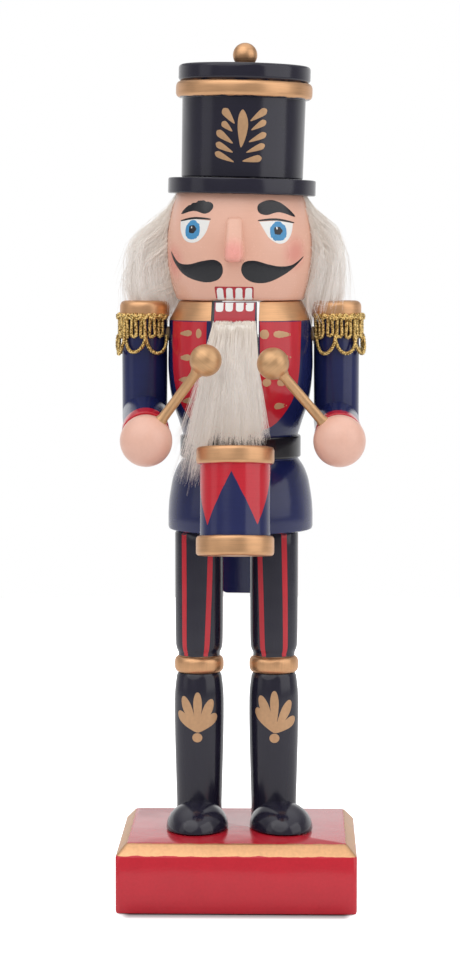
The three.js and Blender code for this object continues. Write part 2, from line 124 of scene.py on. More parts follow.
@dataclass(frozen=True)
class Placement:
    """Where a piece's own frame, in millimetres, stands in the figure's frame."""

    matrix: Matrix = field(default_factory=lambda: Matrix.Identity(4))

    def moved(self, x: float = 0.0, y: float = 0.0, z: float = 0.0) -> "Placement":
        """The same frame, shifted along its own axes."""
        return Placement(self.matrix @ Matrix.Translation((x, y, z)))

    def turned(self, axis: str, degrees: float) -> "Placement":
        """The same frame, turned about one of its own axes."""
        return Placement(self.matrix @ Matrix.Rotation(math.radians(degrees), 4, axis))

    def pointed(self, direction: Vector) -> "Placement":
        """The same frame, with its Z axis swung round to a direction."""
        swing = Vector((0, 0, 1)).rotation_difference(direction)
        return Placement(self.matrix @ swing.to_matrix().to_4x4())

    def row(self, points: np.ndarray) -> np.ndarray:
        """Points of the piece's own frame, as metres in the figure's frame."""
        matrix = np.array(self.matrix)
        return (points @ matrix[:3, :3].T + matrix[:3, 3]) * MM

    def own(self, points: np.ndarray) -> np.ndarray:
        """Points in metres of the figure's frame, as millimetres of the piece's own."""
        matrix = np.array(self.matrix.inverted())
        return (points / MM) @ matrix[:3, :3].T + matrix[:3, 3]


def middle(node: str) -> Vector:
    """The middle of a CAD node's box, in millimetres."""
    low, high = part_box(node)
    return (low + high) / 2 / MM


# ---- Outlines and shapes ----


def flowing(pairs: Sequence[Pair], steps: int, closed: bool = False) -> list[Pair]:
    """A smooth line through a few points.

    Args:
        pairs: The points that the line passes through.
        steps: How many straight steps to make between two of them.
        closed: Whether the line comes back to its first point.

    Returns:
        The line's points, without a repeat of the first one when it is closed.
    """
    points = np.array(pairs, float)
    count = len(points)
    spans = count if closed else count - 1
    line: list[Pair] = []
    for span in range(spans):
        index = [span - 1, span, span + 1, span + 2]
        index = [i % count for i in index] if closed else [min(max(i, 0), count - 1) for i in index]
        before, start, end, after = points[index]
        for step in range(steps):
            t = step / steps
            bend = (
                2 * start
                + (end - before) * t
                + (2 * before - 5 * start + 4 * end - after) * t * t
                + (3 * start - before - 3 * end + after) * t**3
            )
            line.append((float(bend[0] / 2), float(bend[1] / 2)))
    if not closed:
        line.append((float(points[-1][0]), float(points[-1][1])))
    return line


def rounded(corners: Sequence[Corner], closed: bool = False, steps: int = 6) -> list[Pair]:
    """A line through corners, each (x, y) or (x, y, rounding).

    Args:
        corners: The corners in order.
        closed: Whether the line joins its last corner to its first.
        steps: How many straight steps a rounding has.

    Returns:
        The line's points.
    """
    count = len(corners)
    line: list[Pair] = []
    for index, corner in enumerate(corners):
        at = Vector(corner[:2])
        size = corner[2] if len(corner) > 2 else 0.0
        inner = closed or 0 < index < count - 1
        if not size or not inner:
            line.append((at.x, at.y))
            continue
        start = at + (Vector(corners[index - 1][:2]) - at).normalized() * size
        end = at + (Vector(corners[(index + 1) % count][:2]) - at).normalized() * size
        for step in range(steps + 1):
            t = step / steps
            point = start * (1 - t) ** 2 + at * 2 * t * (1 - t) + end * t * t
            line.append((point.x, point.y))
    return line


@dataclass
class Shape:
    """Points, in a piece's own millimetres, and the faces between them."""

    points: np.ndarray
    faces: list[tuple[int, ...]]
    coats: list[int] = field(default_factory=list)

    def joined(self, other: "Shape", coat: int = 0) -> "Shape":
        """This shape and another as one, the other's faces taking a coat's number."""
        shift = len(self.points)
        moved = [tuple(i + shift for i in face) for face in other.faces]
        points = np.vstack([self.points, other.points]) if shift else other.points
        mine = self.coats or [0] * len(self.faces)
        return Shape(points, self.faces + moved, mine + [coat] * len(moved))


@dataclass(frozen=True)
class Turning:
    """A piece turned about its own Z axis, from its outline listed from the bottom up."""

    outline: Sequence[Pair]
    sides: int = 112

    def radius(self, height: float) -> float:
        """The radius at a height, where the outline rises steadily."""
        heights = [pair[1] for pair in self.outline]
        return float(np.interp(height, heights, [pair[0] for pair in self.outline]))

    def shape(self) -> Shape:
        """The closed solid."""
        turn = np.linspace(0, 2 * math.pi, self.sides, endpoint=False)
        circle = np.column_stack([np.sin(turn), -np.cos(turn)])
        rings = [np.column_stack([circle * r, np.full(self.sides, z)]) for r, z in self.outline]
        bottom = np.array([[0.0, 0.0, self.outline[0][1]]])
        top = np.array([[0.0, 0.0, self.outline[-1][1]]])
        points = np.vstack([*rings, bottom, top])
        faces: list[tuple[int, ...]] = []
        count = self.sides
        for level in range(len(rings) - 1):
            low = level * count
            for i in range(count):
                j = (i + 1) % count
                faces.append((low + i, low + j, low + count + j, low + count + i))
        last = (len(rings) - 1) * count
        for i in range(count):
            j = (i + 1) % count
            faces.append((j, i, len(points) - 2))
            faces.append((last + i, last + j, len(points) - 1))
        return Shape(points, faces)


def lofted(levels: Sequence[np.ndarray]) -> Shape:
    """A closed solid through rings of points, all with the same count, capped at both ends."""
    count = len(levels[0])
    faces: list[tuple[int, ...]] = []
    for level in range(len(levels) - 1):
        low = level * count
        for i in range(count):
            j = (i + 1) % count
            faces.append((low + i, low + j, low + count + j, low + count + i))
    last = (len(levels) - 1) * count
    faces.append(tuple(reversed(range(count))))
    faces.append(tuple(range(last, last + count)))
    return Shape(np.vstack(levels), faces)


def prism(outline: Sequence[Pair], axes: tuple[int, int, int], low: float, high: float) -> Shape:
    """An outline pushed along an axis.

    Args:
        outline: The outline's points.
        axes: The axes of the outline's two directions, and of the push.
        low: Where the push starts.
        high: Where it ends.
    """
    rings = []
    for depth in (low, high):
        ring = np.zeros((len(outline), 3))
        ring[:, axes[0]] = [pair[0] for pair in outline]
        ring[:, axes[1]] = [pair[1] for pair in outline]
        ring[:, axes[2]] = depth
        rings.append(ring)
    return lofted(rings)


# ---- Pieces ----


def close_up(mesh: bpy.types.Mesh) -> None:
    """Merges a mesh's doubles and points its faces outwards."""
    work = bmesh.new()
    work.from_mesh(mesh)
    bmesh.ops.remove_doubles(work, verts=work.verts, dist=1e-7)
    bmesh.ops.recalc_face_normals(work, faces=work.faces)
    work.to_mesh(mesh)
    work.free()


def surface_piece(piece: Piece, place: Placement, crease: float = 32.0) -> None:
    """Shades a piece and notes each point's place in the piece's own frame.

    Args:
        piece: The finished mesh object.
        place: Where the piece's own frame stands.
        crease: The angle in degrees past which an edge is sharp.
    """
    mesh = piece.data
    points = np.zeros(len(mesh.vertices) * 3)
    mesh.vertices.foreach_get("co", points)
    own = place.own(points.reshape(-1, 3)).astype(np.float32)
    note = mesh.attributes.get(OWN_PLACE) or mesh.attributes.new(OWN_PLACE, "FLOAT_VECTOR", "POINT")
    note.data.foreach_set("vector", own.ravel())
    mesh.shade_smooth()
    mesh.set_sharp_from_angle(angle=math.radians(crease))


def settle(piece: Piece) -> None:
    """Turns a piece's live modifiers into plain mesh."""
    depsgraph = bpy.context.evaluated_depsgraph_get()
    evaluated = piece.evaluated_get(depsgraph)
    solid = bpy.data.meshes.new_from_object(
        evaluated, preserve_all_data_layers=True, depsgraph=depsgraph
    )
    solid.name = piece.name
    piece.modifiers.clear()
    piece.data = solid


def new_piece(
    name: str,
    shape: Shape,
    place: Placement,
    finish: "Paintwork | Sequence[Material]",
    crease: float = 32.0,
) -> Piece:
    """Makes a mesh object of a shape, standing in its place.

    Args:
        name: The piece's name.
        shape: Its points and faces.
        place: Where its own frame stands.
        finish: Its paintwork, or its materials in the order of the shape's coats.
        crease: The angle in degrees past which an edge is sharp.

    Returns:
        The object, at the origin, with its place in its mesh.
    """
    mesh = bpy.data.meshes.new(name)
    mesh.from_pydata(place.row(shape.points).tolist(), [], shape.faces)
    if shape.coats:
        mesh.polygons.foreach_set("material_index", shape.coats)
    for material in [finish.material()] if isinstance(finish, Paintwork) else finish:
        mesh.materials.append(material)
    close_up(mesh)
    piece = bpy.data.objects.new(name, mesh)
    bpy.context.scene.collection.objects.link(piece)
    surface_piece(piece, place, crease)
    return piece


def carve(
    piece: Piece, tool: Shape, place: Placement, operation: str = "DIFFERENCE"
) -> None:
    """Cuts a piece with a tool's shape, or keeps only what is inside it."""
    mesh = bpy.data.meshes.new("tool")
    mesh.from_pydata(place.row(tool.points).tolist(), [], tool.faces)
    close_up(mesh)
    cutter = bpy.data.objects.new("tool", mesh)
    bpy.context.scene.collection.objects.link(cutter)
    modifier = piece.modifiers.new("carve", "BOOLEAN")
    modifier.operation = operation
    modifier.solver = "EXACT"
    modifier.object = cutter
    settle(piece)
    bpy.data.objects.remove(cutter)


def saw_off(piece: Piece, point: Vector, normal: Vector) -> None:
    """Takes away what lies beyond a plane and closes the sawn face.

    Args:
        piece: The piece to saw.
        point: A point of the plane, in metres of the figure's frame.
        normal: The plane's normal, towards the waste.
    """
    work = bmesh.new()
    work.from_mesh(piece.data)
    everything = [*work.verts, *work.edges, *work.faces]
    sawn = bmesh.ops.bisect_plane(
        work, geom=everything, plane_co=point, plane_no=normal, clear_outer=True
    )
    rim = [item for item in sawn["geom_cut"] if isinstance(item, bmesh.types.BMEdge)]
    bmesh.ops.edgeloop_fill(work, edges=rim)
    bmesh.ops.recalc_face_normals(work, faces=work.faces)
    work.to_mesh(piece.data)
    work.free()


def stand_for(piece: Piece, slot: str, *nodes: str, body: str = FIGURE) -> None:
    """Makes a finished piece ride on a body and stand for CAD nodes, which it hides."""
    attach(piece, body)
    if nodes:
        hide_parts(*nodes)
    LOG.info("%s: %d faces", piece.name, len(piece.data.polygons))


# ---- Shader graphs ----


class Graph:
    """A node tree with short ways to add and join its nodes."""

    def __init__(self, tree: bpy.types.NodeTree) -> None:
        """Takes the tree and empties it."""
        self.tree = tree
        self.tree.nodes.clear()

    def add(self, kind: str, **settings: object) -> bpy.types.Node:
        """A new node of a kind, with some of its properties set."""
        node = self.tree.nodes.new(kind)
        for name, value in settings.items():
            setattr(node, name, value)
        return node

    def made(self, kind: str, inputs: dict[str | int, object], **settings: object) -> bpy.types.Node:
        """A new node of a kind, with some of its properties and its inputs set."""
        node = self.add(kind, **settings)
        for key, value in inputs.items():
            self.put(node.inputs[key], value)
        return node

    def put(self, socket: Socket, value: object) -> None:
        """Gives a socket a value, or joins another node's output to it."""
        if isinstance(value, Socket):
            self.tree.links.new(value, socket)
        else:
            socket.default_value = value

    def math(self, operation: str, *values: object, clamp: bool = False) -> Socket:
        """The result of a Math node."""
        node = self.add("ShaderNodeMath", operation=operation, use_clamp=clamp)
        for index, value in enumerate(values):
            self.put(node.inputs[index], value)
        return node.outputs[0]

    def stretch(self, where: Socket, scale: Sequence[float]) -> Socket:
        """A vector multiplied along each axis."""
        both = {0: where, 1: tuple(scale)}
        return self.made("ShaderNodeVectorMath", both, operation="MULTIPLY").outputs[0]

    def noise(self, where: Socket, scale: float, detail: float = 2.0) -> Socket:
        """A noise between 0 and 1."""
        inputs = {"Vector": where, "Scale": scale, "Detail": detail}
        return self.made("ShaderNodeTexNoise", inputs).outputs["Fac"]

    def rise(self, value: object, low: float, high: float) -> Socket:
        """A smooth step from 0 at low to 1 at high."""
        inputs = {"Value": value, "From Min": low, "From Max": high}
        node = self.made("ShaderNodeMapRange", inputs, interpolation_type="SMOOTHSTEP")
        return node.outputs["Result"]

    def spread(self, value: object, low: float, high: float) -> Socket:
        """A 0 to 1 value spread between two others."""
        return self.math("MULTIPLY_ADD", value, high - low, low)

    def mix(self, factor: object, first: object, second: object) -> Socket:
        """One colour blended into another."""
        node = self.add("ShaderNodeMix", data_type="RGBA")
        self.put(node.inputs[0], factor)
        for index, colour in ((6, first), (7, second)):
            self.put(node.inputs[index], colour if isinstance(colour, Socket) else (*colour, 1.0))
        return node.outputs[2]

    def mix_value(self, factor: object, first: object, second: object) -> Socket:
        """One number blended into another."""
        inputs = {0: factor, 2: first, 3: second}
        return self.made("ShaderNodeMix", inputs, data_type="FLOAT").outputs[0]

    def past(self, value: Socket, half: float) -> Socket:
        """How far a coordinate lies outside plus or minus a half width."""
        return self.math("SUBTRACT", self.math("ABSOLUTE", value), half)

    def shaded(self, colour: object, value: Socket) -> Socket:
        """A colour made darker or paler."""
        return self.made("ShaderNodeHueSaturation", {"Color": colour, "Value": value}).outputs[0]

    def coat(self, shader: bpy.types.Node, colour: Socket, rough: object) -> None:
        """Gives a shader its colour and its roughness."""
        self.put(shader.inputs["Base Color"], colour)
        self.put(shader.inputs["Roughness"], rough)

    def bump(self, shader: bpy.types.Node, height: Socket, distance: float) -> None:
        """Raises a shader's surface by a height from 0 to 1, times a distance in metres."""
        inputs = {"Height": height, "Distance": distance, "Strength": 1.0}
        self.put(shader.inputs["Normal"], self.made("ShaderNodeBump", inputs).outputs[0])

    def own_place(self) -> Socket:
        """Each point's place in the piece's own frame, in millimetres."""
        return self.add("ShaderNodeAttribute", attribute_name=OWN_PLACE).outputs["Vector"]

    def axes(self, where: Socket) -> list[Socket]:
        """A vector's three parts."""
        return list(self.made("ShaderNodeSeparateXYZ", {0: where}).outputs)


def shader_graph(name: str) -> tuple[Material, Graph, bpy.types.Node]:
    """A new material with its graph and its Principled shader, joined to the output."""
    material = bpy.data.materials.new(name)
    material.use_nodes = True
    graph = Graph(material.node_tree)
    shader = graph.add("ShaderNodeBsdfPrincipled")
    output = graph.add("ShaderNodeOutputMaterial")
    graph.put(output.inputs["Surface"], shader.outputs[0])
    return material, graph, shader


# ---- Paint ----


@dataclass(frozen=True)
class Paint:
    """One colour of paint and how it shines."""

    colour: Colour
    rough: float
    metal: float = 0.0
    patchy: float = 0.06


class Paints:
    """The maker's tins."""

    RED = Paint((0.52, 0.016, 0.03), 0.13, patchy=0.10)
    BLACK = Paint((0.013, 0.0115, 0.024), 0.17, patchy=0.12)
    NAVY = Paint((0.0125, 0.0175, 0.085), 0.17, patchy=0.10)
    BELT = Paint((0.013, 0.011, 0.014), 0.17, patchy=0.12)
    GOLD = Paint((0.66, 0.37, 0.19), 0.36, metal=0.84, patchy=0.17)
    STICK_GOLD = Paint((0.60, 0.355, 0.18), 0.38, metal=0.7, patchy=0.19)
    LEAF = Paint((0.54, 0.32, 0.17), 0.38, metal=0.30, patchy=0.14)
    SKIN = Paint((0.80, 0.455, 0.34), 0.26, patchy=0.03)
    HAND = Paint((0.80, 0.47, 0.365), 0.30, patchy=0.04)
    BLUSH = Paint((0.70, 0.17, 0.15), 0.30)
    NOSE_BLUSH = Paint((0.84, 0.33, 0.28), 0.28)
    LIP = Paint((0.42, 0.014, 0.026), 0.2, patchy=0.12)
    WHITE = Paint((0.84, 0.83, 0.80), 0.3, patchy=0.03)
    IRIS = Paint((0.055, 0.27, 0.52), 0.28, patchy=0.12)
    INK = Paint((0.009, 0.009, 0.013), 0.22, patchy=0.15)
    CREAM = Paint((0.78, 0.72, 0.60), 0.45, patchy=0.06)
    SLOT = Paint((0.012, 0.013, 0.03), 0.5, patchy=0.3)


@dataclass(frozen=True)
class Band:
    """A band of paint between two heights, its edges a little unsteady."""

    low: float
    high: float
    wander: float = 0.14
    soft: float = 0.07

    def mask(self, graph: Graph, own: Socket) -> Socket:
        """Where the band is, as 0 to 1."""
        wobble = graph.spread(graph.noise(own, 0.22, 3), -2 * self.wander, 2 * self.wander)
        height = graph.math("ADD", graph.axes(own)[2], wobble)
        above = graph.rise(height, self.low - self.soft, self.low + self.soft)
        below = graph.rise(height, self.high + self.soft, self.high - self.soft)
        return graph.math("MULTIPLY", above, below)


@dataclass(frozen=True)
class Spot:
    """A soft round patch on a turned piece, at an angle and a height."""

    angle: float
    height: float
    distance: float
    size: float
    strength: float = 1.0

    def mask(self, graph: Graph, own: Socket) -> Socket:
        """Where the patch is, as 0 to 1, strongest in its middle."""
        turn = math.radians(self.angle)
        centre = (self.distance * math.sin(turn), -self.distance * math.cos(turn), self.height)
        node = graph.made("ShaderNodeVectorMath", {0: own, 1: centre}, operation="DISTANCE")
        near = graph.rise(node.outputs["Value"], self.size, self.size * 0.1)
        return graph.math("MULTIPLY", near, self.strength)


@dataclass(frozen=True)
class Frame:
    """The gold edge of a square block: its bevel and a sliver of the top."""

    half_width: float
    half_depth: float
    low: float
    wander: float = 0.35

    def mask(self, graph: Graph, own: Socket) -> Socket:
        """Where the edge is, as 0 to 1."""
        wobble = graph.spread(graph.noise(own, 0.16, 3), -2 * self.wander, 2 * self.wander)
        x, y, z = graph.axes(own)
        above = graph.rise(graph.math("ADD", z, wobble), self.low - 0.07, self.low + 0.07)
        edge = graph.math("MAXIMUM", graph.past(x, self.half_width), graph.past(y, self.half_depth))
        outward = graph.math("ADD", edge, wobble)
        return graph.math("MULTIPLY", above, graph.rise(outward, -0.1, 0.1))


@dataclass(frozen=True)
class Zigzag:
    """Paint above a zigzag line round a turned piece."""

    teeth: int
    apex_angle: float
    apex: float
    valley: float

    def mask(self, graph: Graph, own: Socket) -> Socket:
        """Where the upper colour is, as 0 to 1."""
        wobble = graph.spread(graph.noise(own, 0.3, 3), -0.5, 0.5)
        x, y, z = graph.axes(own)
        angle = graph.math("ARCTAN2", x, graph.math("MULTIPLY", y, -1.0))
        per_turn = self.teeth / math.pi
        turns = graph.math("MULTIPLY_ADD", angle, per_turn, -math.radians(self.apex_angle) * per_turn)
        ramp = graph.math("PINGPONG", graph.math("ADD", turns, 8.0), 1.0)
        line = graph.spread(ramp, self.apex, self.valley)
        height = graph.math("SUBTRACT", graph.math("ADD", z, wobble), line)
        return graph.rise(height, -0.12, 0.12)


@dataclass(frozen=True)
class Gap:
    """The two walls and the floor of a slot through a body."""

    half_width: float
    floor: float

    def mask(self, graph: Graph, own: Socket) -> Socket:
        """Where the slot's faces are, as 0 to 1."""
        x, _, z = graph.axes(own)
        narrow = graph.math("LESS_THAN", graph.math("ABSOLUTE", x), self.half_width + 0.03)
        return graph.math("MULTIPLY", narrow, graph.math("GREATER_THAN", z, self.floor - 0.03))


Mask = Band | Spot | Frame | Zigzag | Gap


@dataclass(frozen=True)
class Paintwork:
    """A painted surface: a ground coat, further coats over parts of it, and the brush's traces."""

    name: str
    ground: Paint
    over: tuple[tuple[Mask, Paint], ...] = ()
    brush: Brush = Brush.ROUND
    lines: float = 0.05
    peel: float = 0.03
    wave: float = 0.5

    def material(self) -> Material:
        """Builds the material, reading each point's place in the piece's own frame."""
        material, graph, shader = shader_graph(self.name)
        own = graph.own_place()
        streak = graph.noise(graph.stretch(own, self.brush.value), 1.0, 4)
        cloud = graph.noise(own, 0.11, 3)
        dust = graph.noise(own, 1.7, 2)
        colour, rough, metal = self._coat(graph, self.ground, streak, cloud)
        for mask, paint in self.over:
            where = mask.mask(graph, own)
            next_colour, next_rough, next_metal = self._coat(graph, paint, streak, cloud)
            colour = graph.mix(where, colour, next_colour)
            rough = graph.mix_value(where, rough, next_rough)
            metal = graph.mix_value(where, metal, next_metal)
        scuff = graph.math("MULTIPLY", graph.rise(dust, 0.62, 0.85), 0.1)
        graph.coat(shader, colour, graph.math("ADD", rough, scuff, clamp=True))
        if any(paint.metal for paint in (self.ground, *(paint for _, paint in self.over))):
            graph.put(shader.inputs["Metallic"], metal)
        height = graph.math("MULTIPLY", streak, self.lines)
        height = graph.math("MULTIPLY_ADD", dust, self.peel, height)
        height = graph.math("MULTIPLY_ADD", graph.noise(own, 0.07, 1), self.wave, height)
        graph.bump(shader, height, 0.0003)
        return material

    @staticmethod
    def _coat(
        graph: Graph, paint: Paint, streak: Socket, cloud: Socket
    ) -> tuple[Socket, Socket, float]:
        """One paint's colour, roughness and metal, with its unevenness."""
        uneven = graph.math("ADD", streak, cloud)
        value = graph.math("MULTIPLY_ADD", uneven, 2 * paint.patchy, 1 - 2 * paint.patchy)
        rough = graph.math("MULTIPLY_ADD", cloud, 0.3 * paint.rough, 0.85 * paint.rough)
        return graph.shaded((*paint.colour, 1.0), value), rough, paint.metal


@dataclass(frozen=True)
class BareWood:
    """Unpainted turned beech, with its grain along one axis."""

    name: str = "bare_wood"
    pale: Colour = (0.62, 0.42, 0.23)
    dark: Colour = (0.42, 0.25, 0.12)

    def material(self) -> Material:
        """Builds the material."""
        material, graph, shader = shader_graph(self.name)
        where = graph.add("ShaderNodeTexCoord").outputs["Object"]
        grain = graph.noise(graph.stretch(where, (2600.0, 2600.0, 160.0)), 1.0, 4)
        colour = graph.mix(graph.rise(grain, 0.3, 0.75), self.pale, self.dark)
        graph.coat(shader, colour, graph.spread(grain, 0.55, 0.8))
        graph.bump(shader, grain, 0.00005)
        return material


@dataclass(frozen=True)
class DrawnWire:
    """Drawn steel wire, with fine lines along it."""

    name: str = "pin_steel"
    colour: Colour = (0.55, 0.56, 0.58)

    def material(self) -> Material:
        """Builds the material."""
        material, graph, shader = shader_graph(self.name)
        where = graph.add("ShaderNodeTexCoord").outputs["Object"]
        lines = graph.noise(graph.stretch(where, (150.0, 6000.0, 6000.0)), 1.0, 3)
        dark = tuple(part * 0.7 for part in self.colour)
        graph.coat(shader, graph.mix(lines, dark, self.colour), graph.spread(lines, 0.2, 0.42))
        graph.put(shader.inputs["Metallic"], 1.0)
        return material


@dataclass(frozen=True)
class FurFibre:
    """Soft white fur, darker at its roots. A faint glow stands for light passed from hair to hair."""

    name: str = "white_fur"
    root: Colour = (0.90, 0.82, 0.73)
    tip: Colour = (1.0, 0.955, 0.91)

    def material(self) -> Material:
        """Builds the material, reading the strands' own attributes."""
        material, graph, shader = shader_graph(self.name)
        along = graph.add("ShaderNodeAttribute", attribute_name=ALONG).outputs["Fac"]
        shade = graph.add("ShaderNodeAttribute", attribute_name=SHADE).outputs["Fac"]
        colour = graph.mix(graph.rise(along, 0.0, 0.55), self.root, self.tip)
        colour = graph.shaded(colour, graph.spread(shade, 0.84, 1.02))
        graph.coat(shader, colour, graph.spread(shade, 0.45, 0.62))
        graph.put(shader.inputs["Sheen Weight"], 0.3)
        graph.put(shader.inputs["Emission Color"], (1.0, 0.915, 0.85, 1.0))
        graph.put(shader.inputs["Emission Strength"], 0.1)
        return material


@dataclass(frozen=True)
class FurPelt:
    """The backing that fur grows from, seen only between the strands."""

    name: str = "fur_pelt"
    deep: Colour = (0.74, 0.66, 0.57)
    pale: Colour = (0.95, 0.90, 0.83)

    def material(self) -> Material:
        """Builds the material: fine upright streaks like the lie of the fur."""
        material, graph, shader = shader_graph(self.name)
        where = graph.add("ShaderNodeTexCoord").outputs["Object"]
        streak = graph.noise(graph.stretch(where, (2400.0, 2400.0, 140.0)), 1.0, 3)
        colour = graph.mix(graph.rise(streak, 0.25, 0.7), self.deep, self.pale)
        graph.coat(shader, colour, graph.spread(streak, 0.7, 0.95))
        graph.bump(shader, streak, 0.0004)
        return material


@dataclass(frozen=True)
class GiltThread:
    """Gold thread with a shiny film, its sparkle from turn to turn painted into the colour as glints."""

    name: str = "gold_braid"
    glint_colour: Colour = (1.0, 0.74, 0.30)
    dark: Colour = (0.20, 0.10, 0.014)

    def material(self) -> Material:
        """Builds the material."""
        material, graph, shader = shader_graph(self.name)
        where = graph.add("ShaderNodeTexCoord").outputs["Object"]
        glint_noise = graph.noise(where, 1900.0, 2)
        worn = graph.noise(where, 420.0, 2)
        # Painted glints: fine noise speckles the colour between dark gold and pale shining gold.
        colour = graph.mix(graph.rise(glint_noise, 0.40, 0.56), self.dark, self.glint_colour)
        dulled = graph.math("MULTIPLY", graph.rise(worn, 0.5, 0.75), 0.45)
        graph.coat(shader, graph.mix(dulled, colour, self.dark), graph.spread(glint_noise, 0.18, 0.5))
        graph.put(shader.inputs["Metallic"], 0.85)
        graph.bump(shader, glint_noise, 0.00012)
        return material


# ---- Brushwork: thin films of paint laid on a surface ----


@dataclass(frozen=True)
class RoundGround:
    """The outside of a turned piece as a ground to paint on: across is the angle in degrees."""

    turning: Turning
    size: float

    def flat(self, across: float, up: float) -> Pair:
        """A place on the ground, unrolled to millimetres."""
        return (math.radians(across) * self.size, up)

    def point(self, across: float, up: float, lift: float) -> Corner:
        """An unrolled place, back on the piece and lifted off it."""
        turn = across / self.size
        radius = self.turning.radius(up) + lift
        return (radius * math.sin(turn), -radius * math.cos(turn), up)


@dataclass(frozen=True)
class PlateGround:
    """The front of a plate as a ground to paint on: across is X in millimetres."""

    front: tuple[Pair, ...]

    def flat(self, across: float, up: float) -> Pair:
        """A place on the ground, in millimetres already."""
        return (across, up)

    def point(self, across: float, up: float, lift: float) -> Corner:
        """A place on the plate, lifted off it towards -Y. The front is (height, y) pairs."""
        heights = [pair[0] for pair in self.front]
        return (across, float(np.interp(up, heights, [pair[1] for pair in self.front])) - lift, up)


def leaf(start: Pair, end: Pair, width: float, bluntness: float = 0.72) -> list[Pair]:
    """The outline of one brush mark, in unrolled millimetres.

    Args:
        start: The pointed end, where the brush was lifted.
        end: The broad end, where it was pressed.
        width: The mark's greatest width.
        bluntness: How far along the mark is widest, from 0 to 1.
    """
    first = Vector(start)
    along = Vector(end) - first
    across = Vector((-along.y, along.x)).normalized() * width / 2
    stations = [(0.0, 0.0), (bluntness * 0.45, 0.62), (bluntness, 1.0), (0.93, 0.66)]
    right = [first + along * t + across * w for t, w in stations]
    left = [first + along * t - across * w for t, w in reversed(stations[1:])]
    return flowing([tuple(p) for p in (*right, first + along, *left)], 4, closed=True)


def oval(centre: Pair, half_width: float, half_height: float, lean: float = 0.0) -> list[Pair]:
    """The outline of an oval, leaning by some degrees, in unrolled millimetres."""
    turns = np.linspace(0, 2 * math.pi, 28, endpoint=False)
    cos, sin = math.cos(math.radians(lean)), math.sin(math.radians(lean))
    points = []
    for turn in turns:
        x, y = half_width * math.cos(turn), half_height * math.sin(turn)
        points.append((centre[0] + x * cos - y * sin, centre[1] + x * sin + y * cos))
    return points


def line_mark(points: Sequence[Pair], width: float, taper: float = 0.35) -> list[Pair]:
    """The outline of a thin brush line through points, narrower at both its ends."""
    spine = [Vector(pair) for pair in flowing(points, 6)]
    right, left = [], []
    for index, point in enumerate(spine):
        ahead = spine[min(index + 1, len(spine) - 1)] - spine[max(index - 1, 0)]
        share = index / (len(spine) - 1)
        half = width / 2 * (taper + (1 - taper) * math.sin(math.pi * share) ** 0.6)
        across = Vector((-ahead.y, ahead.x)).normalized() * half
        right.append(tuple(point + across))
        left.append(tuple(point - across))
    return right + left[::-1]


